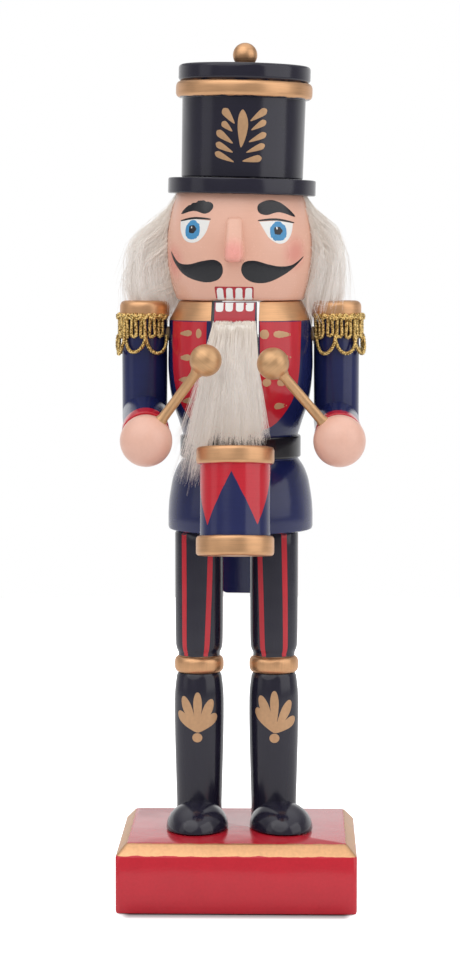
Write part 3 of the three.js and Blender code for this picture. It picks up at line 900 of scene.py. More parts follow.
@dataclass
class Brushwork:
    """Marks painted on one ground, each a thin closed film, gathered into one piece."""

    ground: RoundGround | PlateGround
    spacing: float = 1.1
    films: list[tuple[list[Pair], float, Paint]] = field(default_factory=list)

    def lay(self, outline: Sequence[Pair], paint: Paint, lift: float = 0.07) -> None:
        """Adds a mark with its outline in unrolled millimetres."""
        self.films.append((list(outline), lift, paint))

    def lay_round(self, outline: Sequence[Pair], paint: Paint, lift: float = 0.07) -> None:
        """Adds a mark with its outline in the ground's own measures, as a smooth line."""
        flat = [self.ground.flat(*pair) for pair in outline]
        self.lay(flowing(flat, 5, closed=True), paint, lift)

    def lay_sharp(self, outline: Sequence[Corner], paint: Paint, lift: float = 0.07) -> None:
        """Adds a mark with straight sides, and corners rounded where they say so."""
        flat = [(*self.ground.flat(corner[0], corner[1]), *corner[2:]) for corner in outline]
        self.lay(rounded(flat, closed=True), paint, lift)

    def piece(
        self, name: str, place: Placement, brush: Brush = Brush.SPRAYED, lines: float = 0.05
    ) -> Piece:
        """Makes all the films as one piece."""
        paints = list(dict.fromkeys(paint for _, _, paint in self.films))
        shape = Shape(np.zeros((0, 3)), [])
        for outline, lift, paint in self.films:
            shape = shape.joined(self._film(outline, lift), paints.index(paint))
        materials = [
            Paintwork(f"{name}_{index}", paint, brush=brush, lines=lines, wave=0.2).material()
            for index, paint in enumerate(paints)
        ]
        return new_piece(name, shape, place, materials, crease=50)

    def _film(self, outline: list[Pair], lift: float) -> Shape:
        """One film: a top that follows the ground, a rim, and a back just inside the ground."""
        loop = self._evened(outline)
        inner = self._filling(loop)
        points = [Vector(pair) for pair in (*loop, *inner)]
        made = delaunay_2d_cdt(points, [], [list(range(len(loop)))], 1, 1e-5)
        flat = [tuple(point) for point in made[0]]
        faces = [tuple(face) for face in made[2]]
        count = len(flat)
        uses: dict[tuple[int, int], tuple[int, int]] = {}
        for face in faces:
            for first, second in zip(face, face[1:] + face[:1]):
                key = (min(first, second), max(first, second))
                uses[key] = (first, second) if key not in uses else (-1, -1)
        rim = [edge for edge in uses.values() if edge[0] >= 0]
        rim_points = {index for edge in rim for index in edge}
        top = [
            self.ground.point(*pair, lift * (0.45 if index in rim_points else 1.0))
            for index, pair in enumerate(flat)
        ]
        back = [self.ground.point(*pair, -0.12) for pair in flat]
        reversed_faces = [tuple(i + count for i in reversed(face)) for face in faces]
        walls = [(second, first, first + count, second + count) for first, second in rim]
        return Shape(np.array(top + back, float), faces + reversed_faces + walls)

    def _evened(self, outline: list[Pair]) -> list[Pair]:
        """The outline with points no further apart than half the spacing."""
        evened: list[Pair] = []
        for first, second in zip(outline, outline[1:] + outline[:1]):
            length = math.dist(first, second)
            if length < 0.01:
                continue
            steps = max(1, math.ceil(length / (self.spacing / 2)))
            for step in range(steps):
                t = step / steps
                evened.append(tuple(Vector(first).lerp(Vector(second), t)))
        return evened

    def _filling(self, loop: list[Pair]) -> list[Pair]:
        """Points inside a loop, for the film to bend at."""
        edge = np.array(loop)
        low, high = edge.min(0), edge.max(0)
        xs = np.arange(low[0], high[0], self.spacing)
        ys = np.arange(low[1], high[1], self.spacing)
        if not len(xs) or not len(ys):
            return []
        grid = np.stack(np.meshgrid(xs, ys), -1).reshape(-1, 2)
        ahead = np.roll(edge, -1, axis=0)
        crosses = (edge[:, 1] > grid[:, None, 1]) != (ahead[:, 1] > grid[:, None, 1])
        rise = ahead[:, 1] - edge[:, 1]
        rise = np.where(np.abs(rise) < 1e-9, 1e-9, rise)
        at = edge[:, 0] + (grid[:, None, 1] - edge[:, 1]) / rise * (ahead[:, 0] - edge[:, 0])
        inside = (crosses & (grid[:, None, 0] < at)).sum(1) % 2 == 1
        away = np.linalg.norm(grid[:, None] - edge[None], axis=2).min(1) > self.spacing * 0.35
        return [tuple(pair) for pair in grid[inside & away]]


# ---- Threads: strands and cords made by Geometry Nodes ----


@dataclass
class Threads:
    """Many open lines, each point with how far along its line it is and its line's shade."""

    lines: list[np.ndarray] = field(default_factory=list)
    shades: list[float] = field(default_factory=list)

    def add(self, points: np.ndarray, shade: float) -> None:
        """Adds one line, in millimetres of the piece's own frame."""
        self.lines.append(points)
        self.shades.append(shade)

    def mesh(self, name: str, place: Placement) -> bpy.types.Mesh:
        """The lines as a mesh of edges, in place."""
        points = place.row(np.vstack(self.lines))
        edges, along, shades = [], [], []
        start = 0
        for line, shade in zip(self.lines, self.shades):
            count = len(line)
            edges.extend((start + i, start + i + 1) for i in range(count - 1))
            along.append(np.linspace(0, 1, count))
            shades.append(np.full(count, shade))
            start += count
        mesh = bpy.data.meshes.new(name)
        mesh.from_pydata(points.tolist(), edges, [])
        for label, values in ((ALONG, along), (SHADE, shades)):
            layer = mesh.attributes.new(label, "FLOAT", "POINT")
            layer.data.foreach_set("value", np.concatenate(values).astype(np.float32))
        return mesh


@dataclass(frozen=True)
class ThreadMaker:
    """Geometry Nodes that give lines their thickness, taper and frizz."""

    radius: float
    sides: int = 3
    taper: float = 0.7
    frizz: float = 0.0
    frizz_size: float = 4.0
    seed: int = 1

    def tree(self) -> bpy.types.NodeTree:
        """The node tree, with a named input for each size."""
        tree = bpy.data.node_groups.new("threads", "GeometryNodeTree")
        graph = Graph(tree)
        interface = tree.interface
        interface.new_socket("Lines", in_out="INPUT", socket_type="NodeSocketGeometry")
        for label in ("Radius", "Taper", "Frizz", "Frizz Size"):
            interface.new_socket(label, in_out="INPUT", socket_type="NodeSocketFloat")
        interface.new_socket("Sides", in_out="INPUT", socket_type="NodeSocketInt")
        interface.new_socket("Seed", in_out="INPUT", socket_type="NodeSocketInt")
        interface.new_socket("Material", in_out="INPUT", socket_type="NodeSocketMaterial")
        interface.new_socket("Threads", in_out="OUTPUT", socket_type="NodeSocketGeometry")
        inputs = graph.add("NodeGroupInput").outputs
        along = graph.made("GeometryNodeInputNamedAttribute", {"Name": ALONG}, data_type="FLOAT")
        curl = {
            "Vector": graph.add("GeometryNodeInputPosition").outputs[0],
            "Scale": graph.math("DIVIDE", 1.0, inputs["Frizz Size"]),
            "W": inputs["Seed"],
        }
        noise = graph.made("ShaderNodeTexNoise", curl, noise_dimensions="4D")
        halves = {0: noise.outputs["Color"], 1: (0.5, 0.5, 0.5)}
        centred = graph.made("ShaderNodeVectorMath", halves, operation="SUBTRACT")
        frizz = graph.math("MULTIPLY", inputs["Frizz"], along.outputs[0])
        swing = graph.made("ShaderNodeVectorMath", {0: centred.outputs[0], "Scale": frizz}, operation="SCALE")
        moved = {"Geometry": inputs["Lines"], "Offset": swing.outputs[0]}
        frizzed = graph.made("GeometryNodeSetPosition", moved)
        curves = graph.made("GeometryNodeMeshToCurve", {0: frizzed.outputs[0]})
        thin = graph.math("MULTIPLY", along.outputs[0], inputs["Taper"])
        width = graph.math("MULTIPLY", inputs["Radius"], graph.math("SUBTRACT", 1.0, thin))
        sized = graph.made("GeometryNodeSetCurveRadius", {"Curve": curves.outputs[0], "Radius": width})
        section = {"Resolution": inputs["Sides"], "Radius": 1.0}
        circle = graph.made("GeometryNodeCurvePrimitiveCircle", section)
        swept = {"Curve": sized.outputs[0], "Profile Curve": circle.outputs["Curve"], "Fill Caps": True}
        tubes = graph.made("GeometryNodeCurveToMesh", swept)
        if "Scale" in tubes.inputs:
            graph.put(tubes.inputs["Scale"], width)
        real = graph.made("GeometryNodeRealizeInstances", {0: tubes.outputs[0]})
        dressing = {"Geometry": real.outputs[0], "Material": inputs["Material"]}
        dressed = graph.made("GeometryNodeSetMaterial", dressing)
        graph.made("NodeGroupOutput", {0: dressed.outputs[0]})
        return tree

    def piece(
        self, name: str, threads: Threads, place: Placement, material: Material
    ) -> Piece:
        """Makes the threads as one plain mesh piece."""
        piece = bpy.data.objects.new(name, threads.mesh(name, place))
        bpy.context.scene.collection.objects.link(piece)
        modifier = piece.modifiers.new("threads", "NODES")
        modifier.node_group = self.tree()
        values = {
            "Radius": self.radius * MM,
            "Taper": self.taper,
            "Frizz": self.frizz * MM,
            "Frizz Size": self.frizz_size * MM,
            "Sides": self.sides,
            "Seed": self.seed,
            "Material": material,
        }
        for item in modifier.node_group.interface.items_tree:
            if item.in_out == "INPUT" and item.name in values:
                modifier[item.identifier] = values[item.name]
        settle(piece)
        piece.data.shade_smooth()
        return piece


def eased(values: np.ndarray) -> np.ndarray:
    """A smooth step of values between 0 and 1."""
    clipped = np.clip(values, 0, 1)
    return clipped * clipped * (3 - 2 * clipped)


# ---- Where the sub-assemblies stand ----


@dataclass(frozen=True)
class Layout:
    """The frames of the sub-assemblies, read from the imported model."""

    upper: Placement
    hat: Placement
    arms: Placement
    drum: Placement

    @staticmethod
    def read(frame: dict) -> "Layout":
        """Works the frames out from the CAD nodes' boxes and the jaw's axis."""
        axis = frame["joints"][0]["axis"]
        torso = middle("torso")
        arms = Placement().moved(torso.x, torso.y, 0)
        upper = arms.turned("Z", math.degrees(math.atan2(axis[1], axis[0])))
        brim = upper.matrix.inverted() @ middle("hat_brim")
        ball = upper.matrix.inverted() @ middle("hat_finial")
        ball.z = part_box("hat_finial")[1].z / MM - Hat.finial_radius
        brim_half = Hat.brim_height / 2
        tilt = math.degrees(math.atan2(ball.x - brim.x, ball.z - brim.z))
        shift = brim.x - brim_half * math.sin(math.radians(tilt))
        hat = upper.moved(shift, 0, brim.z - brim_half).turned("Y", tilt)
        drum = middle("drum")
        lean = Placement().moved(drum.x, drum.y, drum.z).turned("X", Drum.lean)
        return Layout(upper, hat, arms, lean)


# ---- Sub-assemblies ----


@dataclass
class Block:
    """The square block that the figure stands on."""

    width: float = 83.0
    depth: float = 73.4
    height: float = 24.0
    bevel: float = 3.8
    corner: float = 1.6
    foot: float = 1.0

    def build(self) -> None:
        """Makes the block and paints it."""
        levels = [
            (self.foot, 0.0, 0.6),
            (self.foot * 0.3, self.foot * 0.3, 1.0),
            (0.0, self.foot, self.corner),
            (0.0, self.height - self.bevel - 0.5, self.corner),
            (0.15, self.height - self.bevel - 0.1, self.corner),
            (0.45, self.height - self.bevel + 0.3, self.corner),
            (self.bevel - 0.6, self.height - 0.45, self.corner),
            (self.bevel - 0.2, self.height - 0.12, self.corner),
            (self.bevel + 0.3, self.height, self.corner),
        ]
        rings = [self._ring(*level) for level in levels]
        finish = Paintwork(
            "red_block",
            Paints.RED,
            ((self._gilding(), Paints.GOLD),),
            Brush.SPRAYED,
            lines=0.06,
            peel=0.05,
            wave=0.7,
        )
        piece = new_piece("block", lofted(rings), Placement(), finish)
        stand_for(piece, "red_lacquer", "base_block")

    def _gilding(self) -> Frame:
        """Where the gold goes: the bevel and a sliver of the top."""
        inset = self.bevel + 0.1
        return Frame(self.width / 2 - inset, self.depth / 2 - inset, self.height - self.bevel)

    def _ring(self, inset: float, height: float, corner: float) -> np.ndarray:
        """One level of the block: a rectangle with rounded corners."""
        half_x, half_y = self.width / 2 - inset, self.depth / 2 - inset
        points = []
        for quarter, (sign_x, sign_y) in enumerate([(1, 1), (-1, 1), (-1, -1), (1, -1)]):
            for step in range(7):
                turn = (quarter + step / 6) * math.pi / 2
                x = sign_x * (half_x - corner) + corner * math.cos(turn)
                y = sign_y * (half_y - corner) + corner * math.sin(turn)
                points.append((x, y, height))
        return np.array(points)


@dataclass
class Leg:
    """One leg: boot, gold knee bead and striped thigh, with a domed toe cap in front."""

    side: Side
    stripes: tuple[tuple[float, float], ...]
    lobes: tuple[Pair, ...]
    junction: Pair
    toe_turn: float
    ankle: float = 8.05
    bottom: float = 24.3
    top: float = 128.3
    bead: Pair = (77.4, 83.5)
    bead_radius: float = 8.75
    toe_width: float = 10.9
    toe_length: float = 16.0
    toe_height: float = 9.0

    def turning(self) -> Turning:
        """The leg's outline."""
        boot = [(self.ankle, 31), (8.3, 40), (8.7, 55), (8.8, 66), (8.6, 71.5), (8.0, 76.4)]
        thigh = [(7.9, 85.7), (8.3, 87.4), (8.45, 92), (8.5, 99), (8.55, 112), (8.55, 127.3)]
        low, high = self.bead
        bead = self.bead_radius
        return Turning(
            [
                (self.ankle - 0.4, self.bottom),
                (self.ankle, self.bottom + 0.4),
                *flowing(boot, 4),
                (7.7, low - 0.4),
                *rounded([(7.5, low), (bead, low, 2.4), (bead, high, 2.4), (7.4, high)]),
                (7.4, high + 1.0),
                (7.6, high + 1.6),
                *flowing(thigh, 3),
                (8.2, self.top - 0.3),
                (7.7, self.top),
            ],
            96,
        )

    def build(self) -> None:
        """Makes the leg, its painted marks and its toe cap."""
        word = self.side.word
        at = middle(f"{word}_leg")
        place = Placement().moved(at.x, at.y, 0)
        turning = self.turning()
        finish = Paintwork(
            f"{word}_leg_paint",
            Paints.BLACK,
            ((Band(self.bead[0] + 0.15, self.bead[1] + 0.1, 0.1), Paints.GOLD),),
            Brush.UPRIGHT,
            lines=0.05,
        )
        leg = new_piece(f"{word}_leg_turned", turning.shape(), place, finish)
        stand_for(leg, "leg_paint", f"{word}_leg")

        size = 8.5
        marks = Brushwork(RoundGround(turning, size), spacing=0.75)
        for high_angle, low_angle in self.stripes:
            marks.lay_sharp(self._stripe(high_angle, low_angle), Paints.RED)
        stripes = marks.piece(f"{word}_stripes", place, Brush.UPRIGHT, 0.22)
        stand_for(stripes, "red_lacquer")

        emblem = Brushwork(RoundGround(turning, size), spacing=0.9)
        flat = emblem.ground.flat
        centre, *others = self.lobes
        foot = flat(*self.junction)
        emblem.lay(leaf(foot, flat(*centre), 3.0, 0.7), Paints.LEAF)
        for lobe in others:
            emblem.lay(leaf(foot, flat(*lobe), 3.5, 0.7), Paints.LEAF)
        emblem.lay(oval((foot[0] - 0.1, foot[1] - 1.9), 1.75, 1.65), Paints.LEAF)
        stand_for(emblem.piece(f"{word}_emblem", place), "gold_paint")
        self._toe()

    @staticmethod
    def _stripe(high_angle: float, low_angle: float) -> list[Corner]:
        """A stripe down the thigh, from one angle at its top to another at its foot."""
        half = 6.9
        top, bottom = 127.5, 83.8
        middle_angle = (high_angle + low_angle) / 2 + 0.6
        return [
            (high_angle - half, top),
            (middle_angle - half * 0.96, (top + bottom) / 2),
            (low_angle - half * 0.94, bottom, 0.4),
            (low_angle + half * 0.94, bottom, 0.4),
            (middle_angle + half, (top + bottom) / 2),
            (high_angle + half, top),
        ]

    def _toe(self) -> None:
        """Makes the domed toe cap."""
        word = self.side.word
        node = f"{word}_shoe"
        at = middle(node)
        low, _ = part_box(node)
        front = low.y / MM + self.toe_length
        place = Placement().moved(at.x, front, self.bottom).turned("Z", self.toe_turn)
        turns = np.linspace(0, math.pi / 2, 20, endpoint=False)
        arc = [(math.cos(turn) ** 0.92, math.sin(turn) ** 0.96) for turn in turns[1:]]
        dome = Turning([(0.975, 0.0), (1.0, 0.03), *arc, (0.02, 1.0)], 96)
        shape = dome.shape()
        shape.points *= np.array([self.toe_width, self.toe_length, self.toe_height])
        finish = Paintwork(f"{word}_toe_paint", Paints.BLACK, brush=Brush.SPRAYED)
        piece = new_piece(f"{word}_toe_cap", shape, place, finish)
        stand_for(piece, "black_lacquer", node)


@dataclass
class Coat:
    """The body: skirt, belt, chest and collar in one turning, slotted for the jaw's lever."""

    layout: Layout
    bottom: float = 128.8
    top: float = 209.65
    belt: Pair = (154.4, 162.3)
    belt_radius: float = 21.35
    collar: float = 203.0
    slot_half: float = 8.3
    slot_floor: float = 164.0

    def turning(self) -> Turning:
        """The body's outline."""
        skirt = [(25.6, 134.6), (25.3, 139.2), (24.6, 143.8), (23.9, 147.2), (22.4, 151), (20.4, 154)]
        waist = [(20.4, 162.8), (21.7, 166.9), (24.4, 175.5)]
        chest = [*waist, (25.5, 185), (25.5, 193), (25.3, 199), (25.15, 202.9)]
        low, high = self.belt
        belt = self.belt_radius
        return Turning(
            [
                (24.5, self.bottom),
                (25.3, self.bottom + 0.35),
                (25.6, self.bottom + 1.2),
                *flowing(skirt, 5),
                *rounded([(20.4, low), (belt, low, 0.9), (belt, high, 0.9), (20.4, high)]),
                *flowing(chest, 6),
                (21.95, self.top - 0.8),
                (21.7, self.top - 0.25),
                (21.2, self.top),
            ],
            144,
        )

    def build(self) -> None:
        """Makes the body, cuts its slot and paints its facings."""
        turning = self.turning()
        finish = Paintwork(
            "coat_paint",
            Paints.NAVY,
            (
                (Band(self.belt[0] + 0.1, self.belt[1] - 0.1, 0.1), Paints.BELT),
                (Band(self.collar, self.top + 3, 0.12), Paints.GOLD),
                (Gap(self.slot_half, self.slot_floor), Paints.SLOT),
            ),
            lines=0.04,
            wave=0.6,
        )
        place = self.layout.upper
        body = new_piece("coat", turning.shape(), place, finish)
        half = self.slot_half
        corners = [(-half, self.slot_floor), (half, self.slot_floor), (half, 220), (-half, 220)]
        carve(body, prism(corners, (0, 2, 1), 60.0, -60.0), place)
        surface_piece(body, place)
        stand_for(body, "coat_paint", "torso")

        ground = RoundGround(turning, 25.0)
        facings = Brushwork(ground, spacing=1.6)
        left = [(-65.5, 203), (-64, 192.5), (-60, 178.5), (-45, 167.5), (-23, 164.2)]
        right = [(62, 203), (59.5, 192.5), (55, 177.5), (40, 167.5), (20, 164.2)]
        for edge in (left, right):
            inner = edge[-1][0]
            facings.lay_sharp([*flowing(edge, 4), (inner, self.collar)], Paints.RED)
        stand_for(facings.piece("facings", place, Brush.UPRIGHT, 0.06), "red_lacquer")

        frogs = Brushwork(ground, spacing=0.9)
        flat = ground.flat
        frogs.lay(oval(flat(-30.3, 198.6), 1.25, 1.65), Paints.LEAF, 0.13)
        for start, end, width in (
            ((-52.5, 198.4), (-37.0, 198.7), 2.2),
            ((-52.2, 190.0), (-37.6, 190.2), 2.3),
            ((-54.0, 182.2), (-39.5, 182.4), 2.3),
            ((-52.5, 174.6), (-39.0, 175.2), 2.2),
            ((49.8, 198.2), (31.3, 198.4), 2.5),
            ((48.4, 190.3), (33.0, 190.4), 2.4),
            ((47.4, 173.5), (34.0, 173.3), 2.3),
        ):
            frogs.lay(leaf(flat(*start), flat(*end), width), Paints.LEAF, 0.13)
        frogs.lay(oval(flat(23.9, 198.4), 1.75, 1.65), Paints.LEAF, 0.13)
        frogs.lay(oval(flat(25.9, 181.7), 1.6, 1.45), Paints.LEAF, 0.13)
        frogs.lay(oval(flat(39.2, 181.6), 1.95, 1.3), Paints.LEAF, 0.13)
        stand_for(frogs.piece("frogging", place), "gold_paint")


@dataclass
class Jaw:
    """The lever: chin plate in front, arm through the slot, tail down the back."""

    layout: Layout
    half_width: float = 7.2
    tail_bottom: float = 102.6
    tail_left: float = 9.2
    tail_corner: float = 3.0

    def build(self) -> None:
        """Makes the lever and paints the lower teeth on it."""
        place = self.layout.upper
        chin = [(-20, 209.5), (-22.3, 209.5, 0.3), (-25.2, 203, 1), (-25.2, 178, 1)]
        underside = [(-17, 178), (-12, 180, 2), (8, 180, 4), (20, 176, 4), (25.9, 172, 3)]
        tail = [(25.9, self.tail_bottom, 0.8), (31.9, self.tail_bottom, 0.8), (31.9, 190, 3)]
        top = [(26, 197, 2), (-14, 197, 2), (-17.5, 200, 1), (-17.5, 209.5, 0.8)]
        side = rounded([*chin, *underside, *tail, *top], closed=True, steps=5)
        half = self.half_width
        finish = Paintwork("jaw_paint", Paints.NAVY, brush=Brush.UPRIGHT, lines=0.09, wave=0.9)
        board = prism(side, (1, 2, 0), -self.tail_left, half)
        lever = new_piece("lever", board, place, finish)
        bottom = self.tail_bottom
        front = rounded(
            [
                (-half - 2, 215),
                (-half, 211),
                (-half, 172, 2),
                (-self.tail_left, 166, 2),
                (-self.tail_left, bottom, self.tail_corner),
                (half, bottom, self.tail_corner),
                (half, 211),
                (half + 2, 215),
            ],
            closed=True,
        )
        carve(lever, prism(front, (0, 2, 1), 60.0, -60.0), place, "INTERSECT")
        bevel = lever.modifiers.new("edges", "BEVEL")
        bevel.width = 0.25 * MM
        bevel.segments = 3
        bevel.limit_method = "ANGLE"
        bevel.angle_limit = math.radians(50)
        settle(lever)
        surface_piece(lever, place, 40)
        stand_for(lever, "navy_lacquer", "jaw_lever", body=JAW)

        ground = PlateGround(((178.0, -25.2), (202.4, -25.2), (203.6, -24.95), (209.5, -22.3)))
        mouth = Brushwork(ground, spacing=0.9)
        mouth.lay_sharp([(-7.05, 202.6), (7.05, 202.6), (7.05, 209.35), (-7.05, 209.35)], Paints.LIP)
        teeth = ((-6.7, -3.95, 206.1), (-3.4, -0.6, 206.2), (0.25, 3.05, 206.2), (3.7, 6.55, 206.3))
        for low, high, depth in teeth:
            corners = [(low, 209.3), (low, depth, 1.1), (high, depth, 1.1), (high, 209.3)]
            mouth.lay_sharp(corners, Paints.WHITE, 0.14)
        stand_for(mouth.piece("lower_teeth", place), "face_paint", body=JAW)


@dataclass
class Face:
    """The head, its nose and everything painted on it."""

    layout: Layout
    bottom: float = 209.95
    seat: float = 246.8
    radius: float = 26.0
    widest: float = 228.5
    bulge: float = 96.6

    def surface(self, height: float) -> float:
        """The head's radius at a height."""
        return self.radius - (height - self.widest) ** 2 / self.bulge

    def turning(self) -> Turning:
        """The head's outline."""
        edge = self.surface(self.bottom)
        heights = np.linspace(self.bottom + 0.7, self.seat, 30)
        wall = [(self.surface(z), z) for z in heights]
        foot = [(edge - 0.6, self.bottom), (edge - 0.15, self.bottom + 0.2)]
        return Turning([*foot, *wall], 144)

    def build(self) -> None:
        """Makes the head and the nose and paints the face."""
        place = self.layout.upper
        turning = self.turning()
        shape = turning.shape()
        tilt = self.layout.hat.matrix.to_3x3() @ Vector((0, 0, 1))
        own_tilt = place.matrix.to_3x3().inverted() @ tilt
        lean = np.clip((shape.points[:, 2] - 240) / (self.seat - 240), 0, 1)
        shape.points[:, 2] -= lean * shape.points[:, 0] * own_tilt.x / own_tilt.z
        finish = Paintwork(
            "face_paint",
            Paints.SKIN,
            (
                (Spot(-61, 223.5, 25.5, 9.0, 0.55), Paints.BLUSH),
                (Spot(52, 226.5, 25.8, 8.0, 0.5), Paints.BLUSH),
            ),
            lines=0.03,
            wave=0.5,
        )
        stand_for(new_piece("face", shape, place, finish), "face_paint", "head")
        self._nose(place)
        self._features(place, RoundGround(turning, 25.5))

    def _nose(self, place: Placement) -> None:
        """Makes the wedge of the nose."""
        stations = [
            (223.3, 1.7, 3.6, 1.4),
            (223.55, 2.1, 4.0, 0.5),
            (224.2, 2.5, 4.35, 0.1),
            (225.2, 2.65, 4.5, 0.0),
            (231.0, 2.6, 4.2, 0.0),
            (237.6, 2.45, 3.7, 0.0),
            (238.4, 2.2, 3.5, 0.35),
            (238.7, 1.8, 3.2, 0.8),
        ]
        lowest, highest = 224.8, 238.7
        fronts = (-self.surface(lowest) - 5.3, -self.surface(highest) - 1.0)
        rings = []
        for height, front, back, inset in stations:
            y = float(np.interp(height, (lowest, highest), fronts)) + inset
            corners = [(back, -21.0), (front, y, 1.3), (-front, y, 1.3), (-back, -21.0)]
            ring = rounded(corners, closed=True, steps=6)[::-1]
            rings.append(np.array([(x, y, height) for x, y in ring]))
        finish = Paintwork(
            "nose_paint",
            Paints.SKIN,
            ((Spot(0, 226.5, 30.5, 7.5, 0.9), Paints.NOSE_BLUSH),),
            Brush.SPRAYED,
        )
        nose = new_piece("nose_wedge", lofted(rings), place, finish, 60)
        stand_for(nose, "face_paint", "nose")

    def _features(self, place: Placement, ground: RoundGround) -> None:
        """Paints the brows, eyes, moustache, lips and upper teeth."""
        paint = Brushwork(ground, spacing=0.9)
        flat = ground.flat
        brows = (
            [(-52, 240), (-45, 243), (-37, 244.5), (-29, 245), (-19.5, 243.5)],
            [(54.5, 239), (44, 243), (35, 244.5), (27, 244.5), (19.5, 243)],
        )
        undersides = ([(-19, 241.5), (-25, 240), (-37, 241)], [(19.5, 240.5), (26, 239.5), (38, 240.5)])
        for brow, underside in zip(brows, undersides):
            paint.lay_round([*brow, *underside], Paints.INK)
        left = [(-51, 237.5), (-49, 234), (-43.5, 231), (-36, 230), (-29, 230.7), (-23, 233.5), (-20, 237.6)]
        right = [(19.5, 237.2), (23, 234.5), (27.5, 231.5), (35, 229.7), (42, 230.3), (47.5, 233)]
        for lower, top in ((left, (-35, 238.2)), ([*right, (50.5, 236.7)], (35, 237.6))):
            paint.lay_sharp([*flowing(lower, 5), top], Paints.WHITE)
        per_degree = math.radians(1) * ground.size
        for iris, pupil, glint in (
            ((-35.8, 234.35), (-35.9, 234.7), (-36.8, 235.2)),
            ((35.5, 233.85), (35.0, 234.15), (33.9, 234.8)),
        ):
            paint.lay(oval(flat(*iris), 8.2 * per_degree, 3.5), Paints.IRIS, 0.11)
            paint.lay(oval(flat(*pupil), 4.5 * per_degree, 1.9), Paints.INK, 0.15)
            paint.lay(oval(flat(*glint), 1.7 * per_degree, 0.78), Paints.WHITE, 0.19)
        for lid in (((-51, 237.6), (-35, 238.5), (-19.5, 238.1)), ((18.5, 237.6), (34, 238), (52, 236.9))):
            paint.lay(line_mark([flat(*pair) for pair in lid], 0.75), Paints.INK, 0.17)
        curl_left = [(-64, 227), (-52.5, 223.2), (-40, 222.5), (-27, 223.6), (-16, 224.1), (-10, 222.5)]
        under_left = [(-9.7, 219.3), (-15, 217), (-27, 216.4), (-46, 218.7), (-59.5, 223.5)]
        curl_right = [(62, 225.2), (49.5, 222.4), (37.5, 221.8), (27, 222.5), (15.5, 223.8), (7.5, 223.2)]
        under_right = [(5.3, 220.5), (8.5, 217.8), (16.5, 216.2), (29, 216.5), (45.5, 219.8), (59, 223.8)]
        paint.lay_round([*curl_left, *under_left], Paints.INK, 0.09)
        paint.lay_round([*curl_right, *under_right], Paints.INK, 0.09)
        lips = [(-17.0, 210.35, 0.2), (16.3, 210.35, 0.2), (15.6, 214.8, 0.6), (-17.3, 214.9, 0.6)]
        paint.lay_sharp(lips, Paints.LIP)
        for low, high in ((-15.7, -9.6), (-7.8, -1.5), (0.2, 6.7), (8.4, 15.0)):
            corners = [(low, 210.4), (high, 210.4), (high, 214.4, 1.15), (low, 214.4, 1.15)]
            paint.lay_sharp(corners, Paints.WHITE, 0.13)
        stand_for(paint.piece("face_brushwork", place), "face_paint")


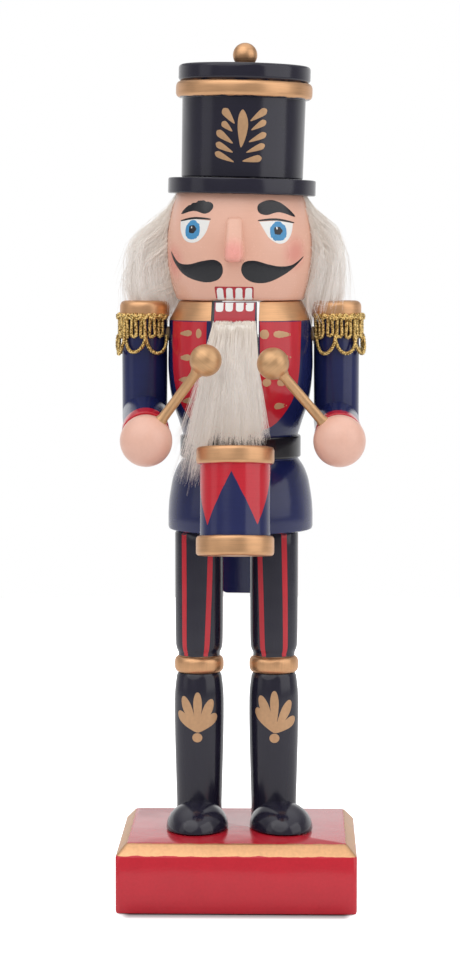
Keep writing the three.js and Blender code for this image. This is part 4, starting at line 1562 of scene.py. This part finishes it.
@dataclass
class Hat:
    """The hat: brim, crown with its gold band and cap, and the finial on top."""

    layout: Layout
    brim_height: float = 5.5
    brim_radius: float = 26.0
    crown_radius: float = 21.5
    band_radius: float = 24.0
    cap_radius: float = 23.2
    crown_top: float = 33.4
    band_top: float = 39.4
    cap_top: float = 45.2
    finial_height: float = 48.9
    finial_radius: float = 4.3

    def crown(self) -> Turning:
        """The crown's outline, with the band and the cap."""
        base = self.brim_height + 0.3
        return Turning(
            [
                (self.crown_radius - 0.4, base),
                (self.crown_radius - 0.1, base + 0.35),
                (self.crown_radius + 0.2, self.crown_top - 0.1),
                *rounded(
                    [
                        (self.crown_radius + 0.3, self.crown_top),
                        (self.band_radius, self.crown_top, 2.2),
                        (self.band_radius, self.band_top, 2.2),
                        (self.cap_radius - 0.7, self.band_top),
                        (self.cap_radius, self.band_top + 0.8, 0.5),
                        (self.cap_radius, self.cap_top, 1.5),
                        (0.5, self.cap_top),
                    ],
                    steps=8,
                ),
            ],
            144,
        )

    def build(self) -> None:
        """Makes the hat's pieces and paints the palm leaf on the crown."""
        place = self.layout.hat
        finish = Paintwork("brim_paint", Paints.BLACK, lines=0.03, wave=0.9)
        height = self.brim_height
        edge = self.brim_radius
        section = [(edge - 1.2, 0.05), (edge, 0.05, 0.6), (edge, height, 0.55), (10, height)]
        brim = Turning(rounded(section), 144)
        piece = new_piece("brim", brim.shape(), place, finish)
        stand_for(piece, "hat_paint", "hat_brim")

        crown = self.crown()
        finish = Paintwork(
            "crown_paint",
            Paints.BLACK,
            ((Band(self.crown_top + 0.35, self.band_top - 0.1, 0.28), Paints.GOLD),),
            lines=0.05,
            wave=0.9,
        )
        piece = new_piece("crown", crown.shape(), place, finish)
        stand_for(piece, "hat_paint", "hat_crown")

        ball = [
            (self.finial_radius * math.cos(turn), self.finial_height + self.finial_radius * math.sin(turn))
            for turn in np.radians(np.linspace(-58, 88, 34))
        ]
        finial = Turning([(1.4, self.cap_top - 3), (1.4, self.cap_top - 0.2), *ball], 72)
        finish = Paintwork("finial_paint", Paints.GOLD, brush=Brush.ROUND, lines=0.16)
        piece = new_piece("finial", finial.shape(), place, finish)
        stand_for(piece, "gold_paint", "hat_finial")
        self._palm(place, crown)

    def _palm(self, place: Placement, crown: Turning) -> None:
        """Paints the palm leaf."""
        ground = RoundGround(crown, self.crown_radius)
        palm = Brushwork(ground, spacing=0.9)
        flat = ground.flat
        centre = [(4, 29), (8, 26.5), (9, 23), (6.5, 18.7), (3, 16), (1, 18.7), (-0.5, 23), (0.5, 27)]
        palm.lay_round(centre, Paints.LEAF)
        fronds = (
            ((-3.4, 24.1), (-14.4, 29.2), 2.75),
            ((-5.2, 21.4), (-15.2, 24.6), 2.25),
            ((-4.5, 17.3), (-20.4, 21.5), 2.55),
            ((-4.3, 14.2), (-20.9, 17.3), 2.3),
            ((-3.1, 10.9), (-21.7, 14.1), 2.2),
            ((11.1, 25.1), (26.3, 29.3), 2.5),
            ((12.0, 22.0), (25.9, 25.3), 2.2),
            ((10.0, 17.9), (26.4, 21.0), 2.2),
            ((7.9, 14.3), (25.3, 17.1), 2.2),
            ((4.6, 11.3), (22.6, 12.6), 2.4),
        )
        for tip, broad, width in fronds:
            palm.lay(leaf(flat(*tip), flat(*broad), width, 0.78), Paints.LEAF)
        stand_for(palm.piece("palm_leaf", place), "gold_paint")


@dataclass
class Arm:
    """One arm: upper arm with its epaulette cap, forearm, hand, drumstick and fringe."""

    layout: Layout
    side: Side
    hand: tuple[float, float, float]
    drop: float
    shoulder_x: float = 33.9
    radius: float = 8.0
    elbow_radius: float = 7.95
    top: float = 209.7
    cap_radius: float = 8.75
    cap_bottom: float = 204.0
    forearm_radius: float = 7.7
    cuff_radius: float = 8.3
    cuff_length: float = 6.0
    hand_radius: float = 9.0
    hand_back: float = 7.0
    stick_radius: float = 1.75
    knob_radius: float = 5.5

    def build(self) -> None:
        """Makes the arm's pieces."""
        word = self.side.word
        frame = self.layout.arms
        origin = frame.matrix.translation
        hand = Vector(self.hand) - origin
        fall = (origin.y - self.hand[1]) * math.tan(math.radians(self.drop))
        elbow = Vector((self.side.value * self.shoulder_x, 0, hand.z + fall))
        direction = (hand - elbow).normalized()
        length = (hand - elbow).length
        mitre = (Vector((0, 0, 1)) - direction).normalized()
        saw_point = (origin + elbow) * MM
        upper_place = frame.moved(elbow.x, elbow.y, 0)
        lower_place = frame.moved(*elbow).pointed(direction)

        cap = self.cap_radius
        bottom = self.cap_bottom
        epaulette = [(self.radius, bottom), (cap, bottom, 0.7), (cap, self.top, 2.4), (1.0, self.top)]
        upper = Turning(
            [
                (self.elbow_radius, elbow.z - 14),
                (self.elbow_radius, elbow.z),
                (self.radius, elbow.z + 22),
                (self.radius, self.cap_bottom - 0.5),
                *rounded(epaulette, steps=9),
            ],
            96,
        )
        finish = Paintwork(
            f"{word}_sleeve_paint",
            Paints.NAVY,
            ((Band(self.cap_bottom + 0.1, self.top + 4, 0.12), Paints.GOLD),),
            lines=0.04,
        )
        piece = new_piece(f"{word}_sleeve", upper.shape(), upper_place, finish)
        saw_off(piece, saw_point, -mitre)
        surface_piece(piece, upper_place)
        stand_for(piece, "navy_lacquer", f"{word}_upper_arm")

        end = length - self.hand_back - 0.3
        cuff_start = end - self.cuff_length
        wide = self.cuff_radius
        slim = self.forearm_radius
        cuff = [(slim, cuff_start), (wide, cuff_start + 0.3, 0.2), (wide, end, 0.7), (2.0, end)]
        lower = Turning(
            [
                (self.elbow_radius, -14.0),
                (self.elbow_radius, 6.0),
                (self.forearm_radius, cuff_start),
                *rounded(cuff),
            ],
            96,
        )
        finish = Paintwork(
            f"{word}_cuff_paint",
            Paints.NAVY,
            ((Band(cuff_start + 0.1, end + 3, 0.12), Paints.RED),),
            lines=0.04,
        )
        piece = new_piece(f"{word}_cuffed_forearm", lower.shape(), lower_place, finish)
        saw_off(piece, saw_point, mitre)
        surface_piece(piece, lower_place)
        stand_for(piece, "navy_lacquer", f"{word}_forearm")

        flat_angle = math.asin(-self.hand_back / self.hand_radius)
        arc = [
            (self.hand_radius * math.cos(turn), length + self.hand_radius * math.sin(turn))
            for turn in np.linspace(flat_angle, math.pi / 2 - 0.02, 46)
        ]
        finish = Paintwork(f"{word}_hand_paint", Paints.HAND, brush=Brush.SPRAYED, lines=0.05, wave=0.8)
        fist = new_piece(f"{word}_fist", Turning(arc, 96).shape(), lower_place, finish)
        stand_for(fist, "hand_paint", f"{word}_hand")
        self._stick(hand)
        self._fringe(upper_place)

    def _stick(self, hand: Vector) -> None:
        """Makes the drumstick and its round head."""
        word = self.side.word
        knob = middle(f"{word}_stick_head") - self.layout.arms.matrix.translation
        along = knob - hand
        length = along.length
        place = self.layout.arms.moved(*hand).pointed(along.normalized())
        radius = self.stick_radius
        grip = self.hand_radius
        neck = length - self.knob_radius
        outline = [
            (radius, 3.0),
            (radius, grip - 0.9),
            (radius + 0.42, grip - 0.3),
            (radius + 0.3, grip + 0.3),
            (radius + 0.02, grip + 1.1),
            (radius - 0.05, (grip + neck) / 2),
            (radius, neck - 0.9),
            (radius + 0.35, neck - 0.1),
            (radius + 0.7, neck + 0.7),
            (radius, length - 2.0),
        ]
        finish = Paintwork(f"{word}_stick_paint", Paints.STICK_GOLD, brush=Brush.UPRIGHT, lines=0.3)
        stick = new_piece(f"{word}_stick", Turning(outline, 32).shape(), place, finish)
        stand_for(stick, "gold_paint", f"{word}_drumstick")
        ball = [
            (self.knob_radius * math.cos(turn), length + self.knob_radius * math.sin(turn))
            for turn in np.radians(np.linspace(-88.5, 88.5, 44))
        ]
        finish = Paintwork(f"{word}_knob_paint", Paints.STICK_GOLD, brush=Brush.ROUND, lines=0.2, wave=0.9)
        head = new_piece(f"{word}_knob", Turning(ball, 72).shape(), place, finish)
        stand_for(head, "gold_paint", f"{word}_stick_head")

    def _fringe(self, place: Placement) -> None:
        """Makes the length of looped gold fringe round the upper arm."""
        word = self.side.word
        fringe = Fringe(seed=7 + self.side.value, inward=-90.0 * self.side.value)
        threads = fringe.threads()
        maker = ThreadMaker(fringe.ply_radius, sides=6, taper=0.0, seed=3)
        piece = maker.piece(f"{word}_fringe", threads, place, GiltThread(f"{word}_gilt").material())
        surface_piece(piece, place, 80)
        stand_for(piece, "gold_braid", f"{word}_braid")


@dataclass
class Fringe:
    """Gold fringe: two-ply cords laid in upright runs above and in open loops below."""

    seed: int
    inward: float
    opening: float = 62.0
    arm: float = 8.0
    ply_radius: float = 0.37
    ply_offset: float = 0.34
    twist: float = 1.7
    run_low: float = 197.6
    run_high: float = 204.0
    run_gap: float = 1.62
    loop_width: float = 7.2
    loop_middle: float = 194.4
    loop_height: float = 3.1
    loop_cross: float = 1.25
    clearance: float = 0.75
    step: float = 0.16

    def threads(self) -> Threads:
        """All the cords' plies."""
        made = Threads()
        half = math.radians(self.opening / 2)
        reach = (self.arm + 0.6) * (2 * math.pi - 2 * half)
        headers = [self._header(reach, phase) for phase in (0.0, 1.7)]
        for route in (self._runs(reach), self._loops(reach), *headers):
            self._ply(made, self._wrapped(route, half))
        return made

    def _runs(self, reach: float) -> np.ndarray:
        """The upright runs: across, up and out, in millimetres."""
        rng = np.random.default_rng(self.seed)
        count = int(reach / self.run_gap)
        corners: list[tuple[float, float]] = []
        for index in range(count):
            across = (index + 0.5) * self.run_gap + rng.normal(0, 0.08)
            low = self.run_low + rng.normal(0, 0.3)
            high = self.run_high + rng.normal(0, 0.35)
            ends = (low, high) if index % 2 == 0 else (high, low)
            corners += [(across, end) for end in (ends[0], (ends[0] + ends[1]) / 2, ends[1])]
        line = np.array(flowing(corners, 14))
        wobble = 0.12 * np.sin(line[:, 0] * 2.1)
        return np.column_stack([line, 0.12 + wobble])

    def _loops(self, reach: float) -> np.ndarray:
        """The hanging loops, each crossing its neighbours where they meet."""
        rng = np.random.default_rng(self.seed + 40)
        count = int(reach / self.loop_width)
        turn = np.linspace(-math.pi, (2 * count - 1) * math.pi, count * 90)
        knots = np.arange(-1, count + 1) * 2 * math.pi
        size = np.interp(turn, knots, rng.uniform(0.85, 1.14, len(knots)))
        shift = np.interp(turn, knots, rng.normal(0, 0.45, len(knots)))
        start = (reach - count * self.loop_width) / 2 + self.loop_width / 2
        across = start + self.loop_width * turn / (2 * math.pi) + self.loop_cross * np.sin(turn) + shift
        up = self.loop_middle - self.loop_height * size * np.cos(turn) - 0.3 * (size - 1)
        out = 0.45 + 0.42 * np.sin(turn) + 0.25 * (1 + np.cos(turn))
        return np.column_stack([across, up, out])

    def _header(self, reach: float, phase: float) -> np.ndarray:
        """A cord along the top of the runs, in small waves."""
        across = np.linspace(0.4, reach - 0.4, 420)
        slow = 0.25 * np.sin(across * 0.9 + 2 * phase)
        up = self.run_high + 0.1 + 0.5 * np.sin(across * 2.7 + phase) + slow
        out = 0.6 + 0.25 * np.cos(across * 2.7 + phase)
        return np.column_stack([across, up, out])

    def _wrapped(self, route: np.ndarray, half: float) -> np.ndarray:
        """A route bent round the arm, starting past the opening, with even steps."""
        size = self.arm + 0.6
        turn = math.radians(self.inward) + half + route[:, 0] / size
        radius = self.arm + self.clearance + route[:, 2]
        points = np.column_stack([radius * np.sin(turn), -radius * np.cos(turn), route[:, 1]])
        gone = np.concatenate([[0], np.cumsum(np.linalg.norm(np.diff(points, axis=0), axis=1))])
        even = np.linspace(0, gone[-1], int(gone[-1] / self.step))
        return np.column_stack([np.interp(even, gone, points[:, axis]) for axis in range(3)])

    def _ply(self, made: Threads, path: np.ndarray) -> None:
        """Winds two plies round each other along a path."""
        ahead = np.gradient(path, axis=0)
        ahead /= np.linalg.norm(ahead, axis=1)[:, None]
        outward = path * np.array([1.0, 1.0, 0.0])
        outward /= np.linalg.norm(outward, axis=1)[:, None]
        outward -= ahead * (outward * ahead).sum(1)[:, None]
        outward /= np.linalg.norm(outward, axis=1)[:, None]
        across = np.cross(ahead, outward)
        turn = np.arange(len(path)) * self.step * 2 * math.pi / self.twist
        for ply in range(2):
            phase = turn + ply * math.pi
            wound = outward * np.cos(phase)[:, None] + across * np.sin(phase)[:, None]
            made.add(path + wound * self.ply_offset, 0.5)


@dataclass
class Drum:
    """The drum that hangs at the figure's waist."""

    layout: Layout
    radius: float = 12.1
    hoop_radius: float = 13.4
    height: float = 37.4
    top_hoop: float = 6.1
    bottom_hoop: float = 7.0
    lean: float = -7.0

    def build(self) -> None:
        """Makes the drum and paints its zigzag."""
        low, high = -self.height / 2, self.height / 2
        body_low, body_high = low + self.bottom_hoop, high - self.top_hoop
        drop = body_high - body_low
        turning = Turning(
            rounded(
                [
                    (11.0, low),
                    (self.hoop_radius, low, 1.5),
                    (self.hoop_radius, body_low, 1.5),
                    (self.radius, body_low + 0.05),
                    (self.radius, body_high - 0.05),
                    (self.hoop_radius, body_high, 1.5),
                    (self.hoop_radius, high, 1.5),
                    (11.4, high),
                    (11.2, high - 0.5),
                    (2.0, high - 0.5),
                ],
                steps=8,
            ),
            112,
        )
        finish = Paintwork(
            "drum_paint",
            Paints.NAVY,
            (
                (Zigzag(4, -5.0, body_high - 0.11 * drop, body_low + 0.14 * drop), Paints.RED),
                (Band(low - 1, body_low - 0.1, 0.1), Paints.GOLD),
                (Band(body_high + 0.25, high + 1, 0.1), Paints.GOLD),
                (Spot(0, high - 0.5, 0.0, 12.0, 1.0), Paints.CREAM),
            ),
            lines=0.05,
        )
        piece = new_piece("drum_shell", turning.shape(), self.layout.drum, finish)
        stand_for(piece, "drum_paint", "drum")


@dataclass
class Fur:
    """The wig and the beard: tufts of fine strands over a pelt."""

    layout: Layout
    face: Face
    layers: int = 2
    tufts: int = 230
    strands: int = 19
    steps: int = 7
    strand_radius: float = 0.08
    lever_sweep: float = 208.5
    front: float = 79.0

    def build(self) -> None:
        """Makes the wig's two halves, the pelt under it and the beard."""
        fibre = FurFibre().material()
        pelt = FurPelt().material()
        place = self.layout.upper
        self._wig_pelt(place, pelt)
        self._beard_pelt(place, pelt)
        for layer in range(self.layers):
            for side in Side:
                seed = 5 + side.value
                maker = ThreadMaker(self.strand_radius, taper=0.72, frizz=3.2, frizz_size=4.6, seed=seed)
                strands = self._wig(side, layer)
                piece = maker.piece(f"{side.word}_hair_{layer + 1}", strands, place, fibre)
                stand_for(piece, "white_fur", "hair")
            maker = ThreadMaker(self.strand_radius, taper=0.75, frizz=3.3, frizz_size=4.5, seed=21 + layer)
            beard = maker.piece(f"beard_fur_{layer + 1}", self._beard(layer), place, fibre)
            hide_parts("beard")
            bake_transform(beard)
            LOG.info("%s: %d faces", beard.name, len(beard.data.polygons))

    def _outer(self, height: np.ndarray, angle: np.ndarray) -> np.ndarray:
        """How far out the wig reaches at a height and an angle."""
        heights = (204.0, 210.7, 214.0, 221.0, 229.0, 233.0, 237.5, 241.5, 246.0)
        radii = (33.2, 34.6, 35.4, 36.0, 36.2, 35.6, 33.6, 30.8, 27.4)
        plain = np.interp(height, heights, radii)
        extra = np.interp(height, (206, 213, 228, 240), (3.6, 5.2, 4.6, 1.2))
        fuller = np.exp(-(((angle + 92) / 38) ** 2)) * extra
        return plain + fuller

    def _wig_pelt(self, place: Placement, material: Material) -> None:
        """The wig's backing: a thick shell from temple to temple."""
        heights = np.linspace(211.5, 245.8, 14)
        rings = []
        turns = np.linspace(self.front + 2, 360 - self.front - 2, 60)
        signed = np.where(turns > 180, turns - 360, turns)
        for height in heights:
            head = self.face.surface(height) - 0.2
            share = 0.5 * math.sin(math.pi * (height - 207) / 42)
            ends = np.clip(np.minimum(turns - turns[0], turns[-1] - turns) / 12, 0, 1) ** 0.5
            outer = head + 0.3 + share * ends * (self._outer(np.full(60, height), signed) - head)
            theta = np.radians(turns)
            level = np.full(60, height)
            out = np.column_stack([outer * np.sin(theta), -outer * np.cos(theta), level])
            inner = np.column_stack([head * np.sin(theta), -head * np.cos(theta), level])
            rings.append(np.vstack([out, inner[::-1]]))
        piece = new_piece("hair_pelt", lofted(rings), place, [material], 60)
        stand_for(piece, "white_fur", "hair")

    def _wig(self, side: Side, layer_number: int) -> Threads:
        """One layer of half the wig's strands, combed down from under the brim."""
        rng = np.random.default_rng(101 + side.value + 10 * layer_number)
        made = Threads()
        t = np.linspace(0, 1, self.steps)
        for _ in range(self.tufts):
            angle = self.front + (183 - self.front) * rng.uniform() ** 1.12
            root = 211.5 + 34.3 * rng.beta(1.7, 1.15)
            layer = rng.uniform(0.12, 1.0)
            tip = rng.uniform(203.5, 213.5) + 7 * (1 - layer) * rng.uniform()
            tip -= 9.0 * float(eased(np.array((angle - 118) / 30)))
            tip = min(tip, root - rng.uniform(7, 13))
            drift = rng.normal(0, 4.5)
            flick = rng.normal(0.1, 0.7)
            shade = rng.uniform(0.2, 1.0)
            stray = rng.uniform() < 0.2
            for _ in range(self.strands):
                a0 = angle + rng.normal(0, 3.2)
                a1 = angle + drift + rng.normal(0, 1.7)
                z0 = root + rng.normal(0, 1.4)
                z1 = tip + rng.normal(0, 2.0)
                clear = self.lever_sweep + abs(rng.normal(0, 1.6))
                z1 += max(clear - z1, 0.0) * float(eased(np.array((a1 - 148) / 9)))
                z0 = max(z0, z1 + 3.0)
                depth = np.clip(layer + rng.normal(0, 0.07), 0.05, 1.08)
                turn = np.maximum(a0 + (a1 - a0) * t, self.front - 5 + 2 * t)
                height = z0 + (z1 - z0) * t**1.15
                head = np.array([self.face.surface(z) for z in np.maximum(height, 210)]) + 0.15
                signed = side.value * turn
                outer = self._outer(height, signed)
                ease = eased(t / 0.42)
                radius = head + depth * ease * (outer - head)
                spread = rng.normal(0, 0.75) + (rng.uniform(0, 4.6) if stray else 0)
                radius += flick * t**2.5 + spread * t**2
                theta = np.radians(signed)
                line = np.column_stack([radius * np.sin(theta), -radius * np.cos(theta), height])
                made.add(line, float(np.clip(shade + rng.normal(0, 0.12), 0, 1)))
        return made

    def _beard_pelt(self, place: Placement, material: Material) -> None:
        """The beard's backing, glued on the chin plate."""
        rings = []
        levels = ((181, 5.6, 1.0), (184, 6.8, 1.9), (191, 6.9, 2.3), (198, 6.9, 1.7), (201.6, 6.7, 0.9))
        for height, half, depth in levels:
            front = -25.3 - depth
            soft = depth * 0.45
            corners = [(half, -25.25), (half, front, soft), (-half, front, soft), (-half, -25.25)]
            ring = rounded(corners, closed=True)
            rings.append(np.array([(x, y, height) for x, y in ring[::-1]]))
        piece = new_piece("beard_pelt", lofted(rings), place, [material], 60)
        stand_for(piece, "white_fur", "beard", body=JAW)

    def _beard(self, layer_number: int) -> Threads:
        """One layer of the beard's strands, fanning out as they fall past the belt."""
        rng = np.random.default_rng(77 + layer_number)
        made = Threads()
        t = np.linspace(0, 1, self.steps)
        for _ in range(self.tufts):
            across = rng.uniform(-1, 1)
            root = 181.5 + 21.2 * rng.beta(1.25, 0.9)
            layer = rng.uniform(0.0, 1.0)
            reach = across + rng.normal(0, 0.13)
            tip = rng.uniform(161.5, 170.0 if rng.uniform() < 0.55 else 184.0)
            if reach < -0.6 and rng.uniform() < 0.4:
                tip = rng.uniform(147.0, 165.0)
            shade = rng.uniform(0.25, 1.0)
            sway = rng.normal(0, 0.7)
            for _ in range(self.strands):
                x0 = 7.2 * np.clip(across + rng.normal(0, 0.12), -1.02, 1.02)
                fan = (0.2 if reach < 0 else 0.13) * (reach + rng.normal(0, 0.08))
                z0 = min(root + rng.normal(0, 1.2), 203.2 - abs(rng.normal(0, 0.5)))
                z1 = min(tip + rng.normal(0, 2.2), z0 - 8)
                height = z0 + (z1 - z0) * t**1.1
                fall = z0 - height
                x = x0 + fan * fall * (0.75 + 0.25 * t) - 0.04 * fall + sway * t**2
                depth = 0.4 + 5.6 * np.clip(layer + rng.normal(0, 0.06), 0, 1)
                y = -25.35 - depth * eased(t / 0.38) + (depth * 0.35) * t**2
                y -= 0.9 * np.sin(math.pi * t) * layer
                line = self._off_drum(np.column_stack([x, y, height]), rng.uniform(0.1, 0.7))
                made.add(line, float(np.clip(shade + rng.normal(0, 0.12), 0, 1)))
        return made

    def _off_drum(self, line: np.ndarray, lift: float) -> np.ndarray:
        """Lays what would pass through the drum on top of it, this far clear of its head."""
        drum, upper = self.layout.drum, self.layout.upper
        own = drum.own(upper.row(line))
        rim = np.hypot(own[:, 0], own[:, 1]) < Drum.hoop_radius + 0.4
        level = Drum.height / 2 + lift
        own[:, 2] = np.where(rim & (own[:, 2] < level), level, own[:, 2])
        return upper.own(drum.row(own))


@dataclass
class Joinery:
    """The dowels and the jaw's pin, which are the CAD model's own solids with a real finish."""

    frame: dict

    def build(self) -> None:
        """Dresses each hidden peg and the pin."""
        wood = BareWood().material()
        steel = DrawnWire().material()
        for name, node in self.frame["nodes"].items():
            if node.hide_render:
                continue
            finish = steel if name == "jaw_pin" else wood
            node.data.materials.clear()
            node.data.materials.append(finish)
            LOG.info("%s: %s", name, finish.name)


# ---- Studio ----


@dataclass
class Studio:
    """The camera, the light and the floor."""

    azimuth: float = 1.3
    distance: float = 1.05169
    eye_height: float = 0.229
    pitch: float = 4.429
    sideways: float = -0.0029
    lens: float = 112.99
    floor_radius: float = 0.9
    floor_drop: float = 0.0002

    def camera(self) -> None:
        """Stands the camera a little right of the figure's front, at eye height, looking down."""
        data = bpy.data.cameras.new("camera")
        data.lens = self.lens
        data.sensor_width = 36.0
        data.clip_start = 0.05
        data.clip_end = 50.0
        camera = bpy.data.objects.new("camera", data)
        bpy.context.scene.collection.objects.link(camera)
        turn = math.radians(self.azimuth)
        right = Vector((math.cos(turn), math.sin(turn), 0))
        back = Vector((math.sin(turn), -math.cos(turn), 0))
        camera.location = back * self.distance + right * self.sideways + Vector((0, 0, self.eye_height))
        camera.rotation_euler = (math.radians(90 - self.pitch), 0, turn)
        bpy.context.scene.camera = camera
        bpy.context.scene.view_settings.view_transform = "Standard"

    def light(self) -> None:
        """Hangs a large soft box on the right, a smaller one on the left and a soft sun above."""
        self._box("key", 62.0, 1.15, 0.62, (1.25, 1.15), 5.0)
        self._box("fill", -72.0, 1.5, 0.75, (0.7, 1.4), 1.4)
        sun = bpy.data.lights.new("sky", "SUN")
        sun.energy = 0.95
        sun.angle = math.radians(70)
        lamp = bpy.data.objects.new("sky", sun)
        bpy.context.scene.collection.objects.link(lamp)
        lamp.rotation_euler = (math.radians(46), 0, math.radians(-32))
        self._world()

    def floor(self) -> None:
        """Lays a pale round floor under the block, with a shadow painted on it just in front of the block."""
        turns = np.linspace(0, 2 * math.pi, 96, endpoint=False)
        circle = np.column_stack([np.cos(turns), np.sin(turns), np.zeros(96)]) * self.floor_radius
        circle[:, 2] = -self.floor_drop
        mesh = bpy.data.meshes.new("floor")
        mesh.from_pydata(circle.tolist(), [], [tuple(range(96))])
        floor = bpy.data.objects.new("floor", mesh)
        bpy.context.scene.collection.objects.link(floor)
        material, graph, shader = shader_graph("floor_paper")
        where = graph.add("ShaderNodeTexCoord").outputs["Object"]
        x, y, _ = graph.axes(where)
        # Painted shadow: in a strip just in front of the block the floor's colour darkens to grey.
        ahead = graph.rise(graph.past(y, Block.depth / 2 * MM), 0.012, 0.0)
        aside = graph.rise(graph.past(x, Block.width / 2 * MM), 0.001, -0.005)
        shade = graph.math("MULTIPLY", ahead, aside)
        pale = graph.mix(graph.noise(where, 30.0), (0.86, 0.86, 0.86), (0.9, 0.9, 0.9))
        graph.coat(shader, graph.mix(shade, pale, (0.42, 0.42, 0.43)), 0.9)
        seen = graph.add("ShaderNodeLightPath").outputs["Is Camera Ray"]
        # The floor's glow for the camera is turned off under the painted shadow.
        glow = graph.math("MULTIPLY", graph.math("SUBTRACT", 1.0, shade), seen)
        graph.put(shader.inputs["Emission Color"], (1.0, 1.0, 1.0, 1.0))
        graph.put(shader.inputs["Emission Strength"], glow)
        mesh.materials.append(material)

    @staticmethod
    def _box(name: str, azimuth: float, distance: float, height: float, size: Pair, power: float) -> None:
        """A soft box standing at an azimuth to the right of the figure's front, facing it."""
        data = bpy.data.lights.new(name, "AREA")
        data.shape = "RECTANGLE"
        data.size, data.size_y = size
        data.energy = power
        lamp = bpy.data.objects.new(name, data)
        bpy.context.scene.collection.objects.link(lamp)
        turn = math.radians(azimuth)
        lamp.location = (distance * math.sin(turn), -distance * math.cos(turn), height)
        aim = Vector((0, 0, 0.2)) - lamp.location
        lamp.rotation_euler = aim.to_track_quat("-Z", "Y").to_euler()

    @staticmethod
    def _world() -> None:
        """A white room: brightest low down behind the figure, dimmer in front of it."""
        world = bpy.data.worlds.new("room")
        bpy.context.scene.world = world
        world.use_nodes = True
        graph = Graph(world.node_tree)
        direction = graph.add("ShaderNodeTexCoord").outputs["Generated"]
        _, ahead, height = graph.axes(direction)
        behind = graph.math("MULTIPLY", graph.rise(ahead, 0.2, 0.8), graph.rise(height, 0.32, 0.2))
        room = graph.mix(graph.rise(height, 0.45, 0.95), (0.37, 0.37, 0.38), (1.15, 1.15, 1.15))
        glow = graph.mix(behind, room, (0.92, 0.92, 0.92))
        lit = graph.made("ShaderNodeBackground", {"Color": glow}).outputs[0]
        seen = graph.made("ShaderNodeBackground", {"Color": (1.0, 1.0, 1.0, 1.0)}).outputs[0]
        path = graph.add("ShaderNodeLightPath").outputs["Is Camera Ray"]
        both = graph.made("ShaderNodeMixShader", {0: path, 1: lit, 2: seen})
        graph.made("ShaderNodeOutputWorld", {"Surface": both.outputs[0]})


# ---- The whole figure ----


def main() -> None:
    """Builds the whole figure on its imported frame."""
    logging.basicConfig(level=logging.INFO, format="%(message)s")
    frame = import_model()
    studio = Studio()
    studio.camera()
    studio.light()
    studio.floor()
    layout = Layout.read(frame)
    face = Face(layout)
    parts: list[Callable[[], None]] = [
        Block().build,
        Leg(
            Side.LEFT,
            ((-37, -37), (31, 20), (98, 98), (165, 165), (-105, -105)),
            ((-2.2, 71.2), (-39.3, 69.6), (-54.0, 64.0), (32.9, 68.6), (45.5, 63.2)),
            (-2.2, 56.9),
            -3.0,
        ).build,
        Leg(
            Side.RIGHT,
            ((-37, -28), (25, 30), (98, 98), (165, 165), (-105, -105)),
            ((1.6, 71.8), (-33.2, 70.0), (-44.9, 65.4), (42.0, 68.3), (57.5, 62.0)),
            (2.7, 56.8),
            11.0,
        ).build,
        Coat(layout).build,
        Jaw(layout).build,
        face.build,
        Hat(layout).build,
        Arm(layout, Side.LEFT, (-31.1, -25.7, 162.3), 12.0).build,
        Arm(layout, Side.RIGHT, (35.2, -25.7, 162.3), 8.0).build,
        Drum(layout).build,
        Fur(layout, face).build,
        Joinery(frame).build,
    ]
    for build in parts:
        build()


if __name__ == "__main__":
    main()
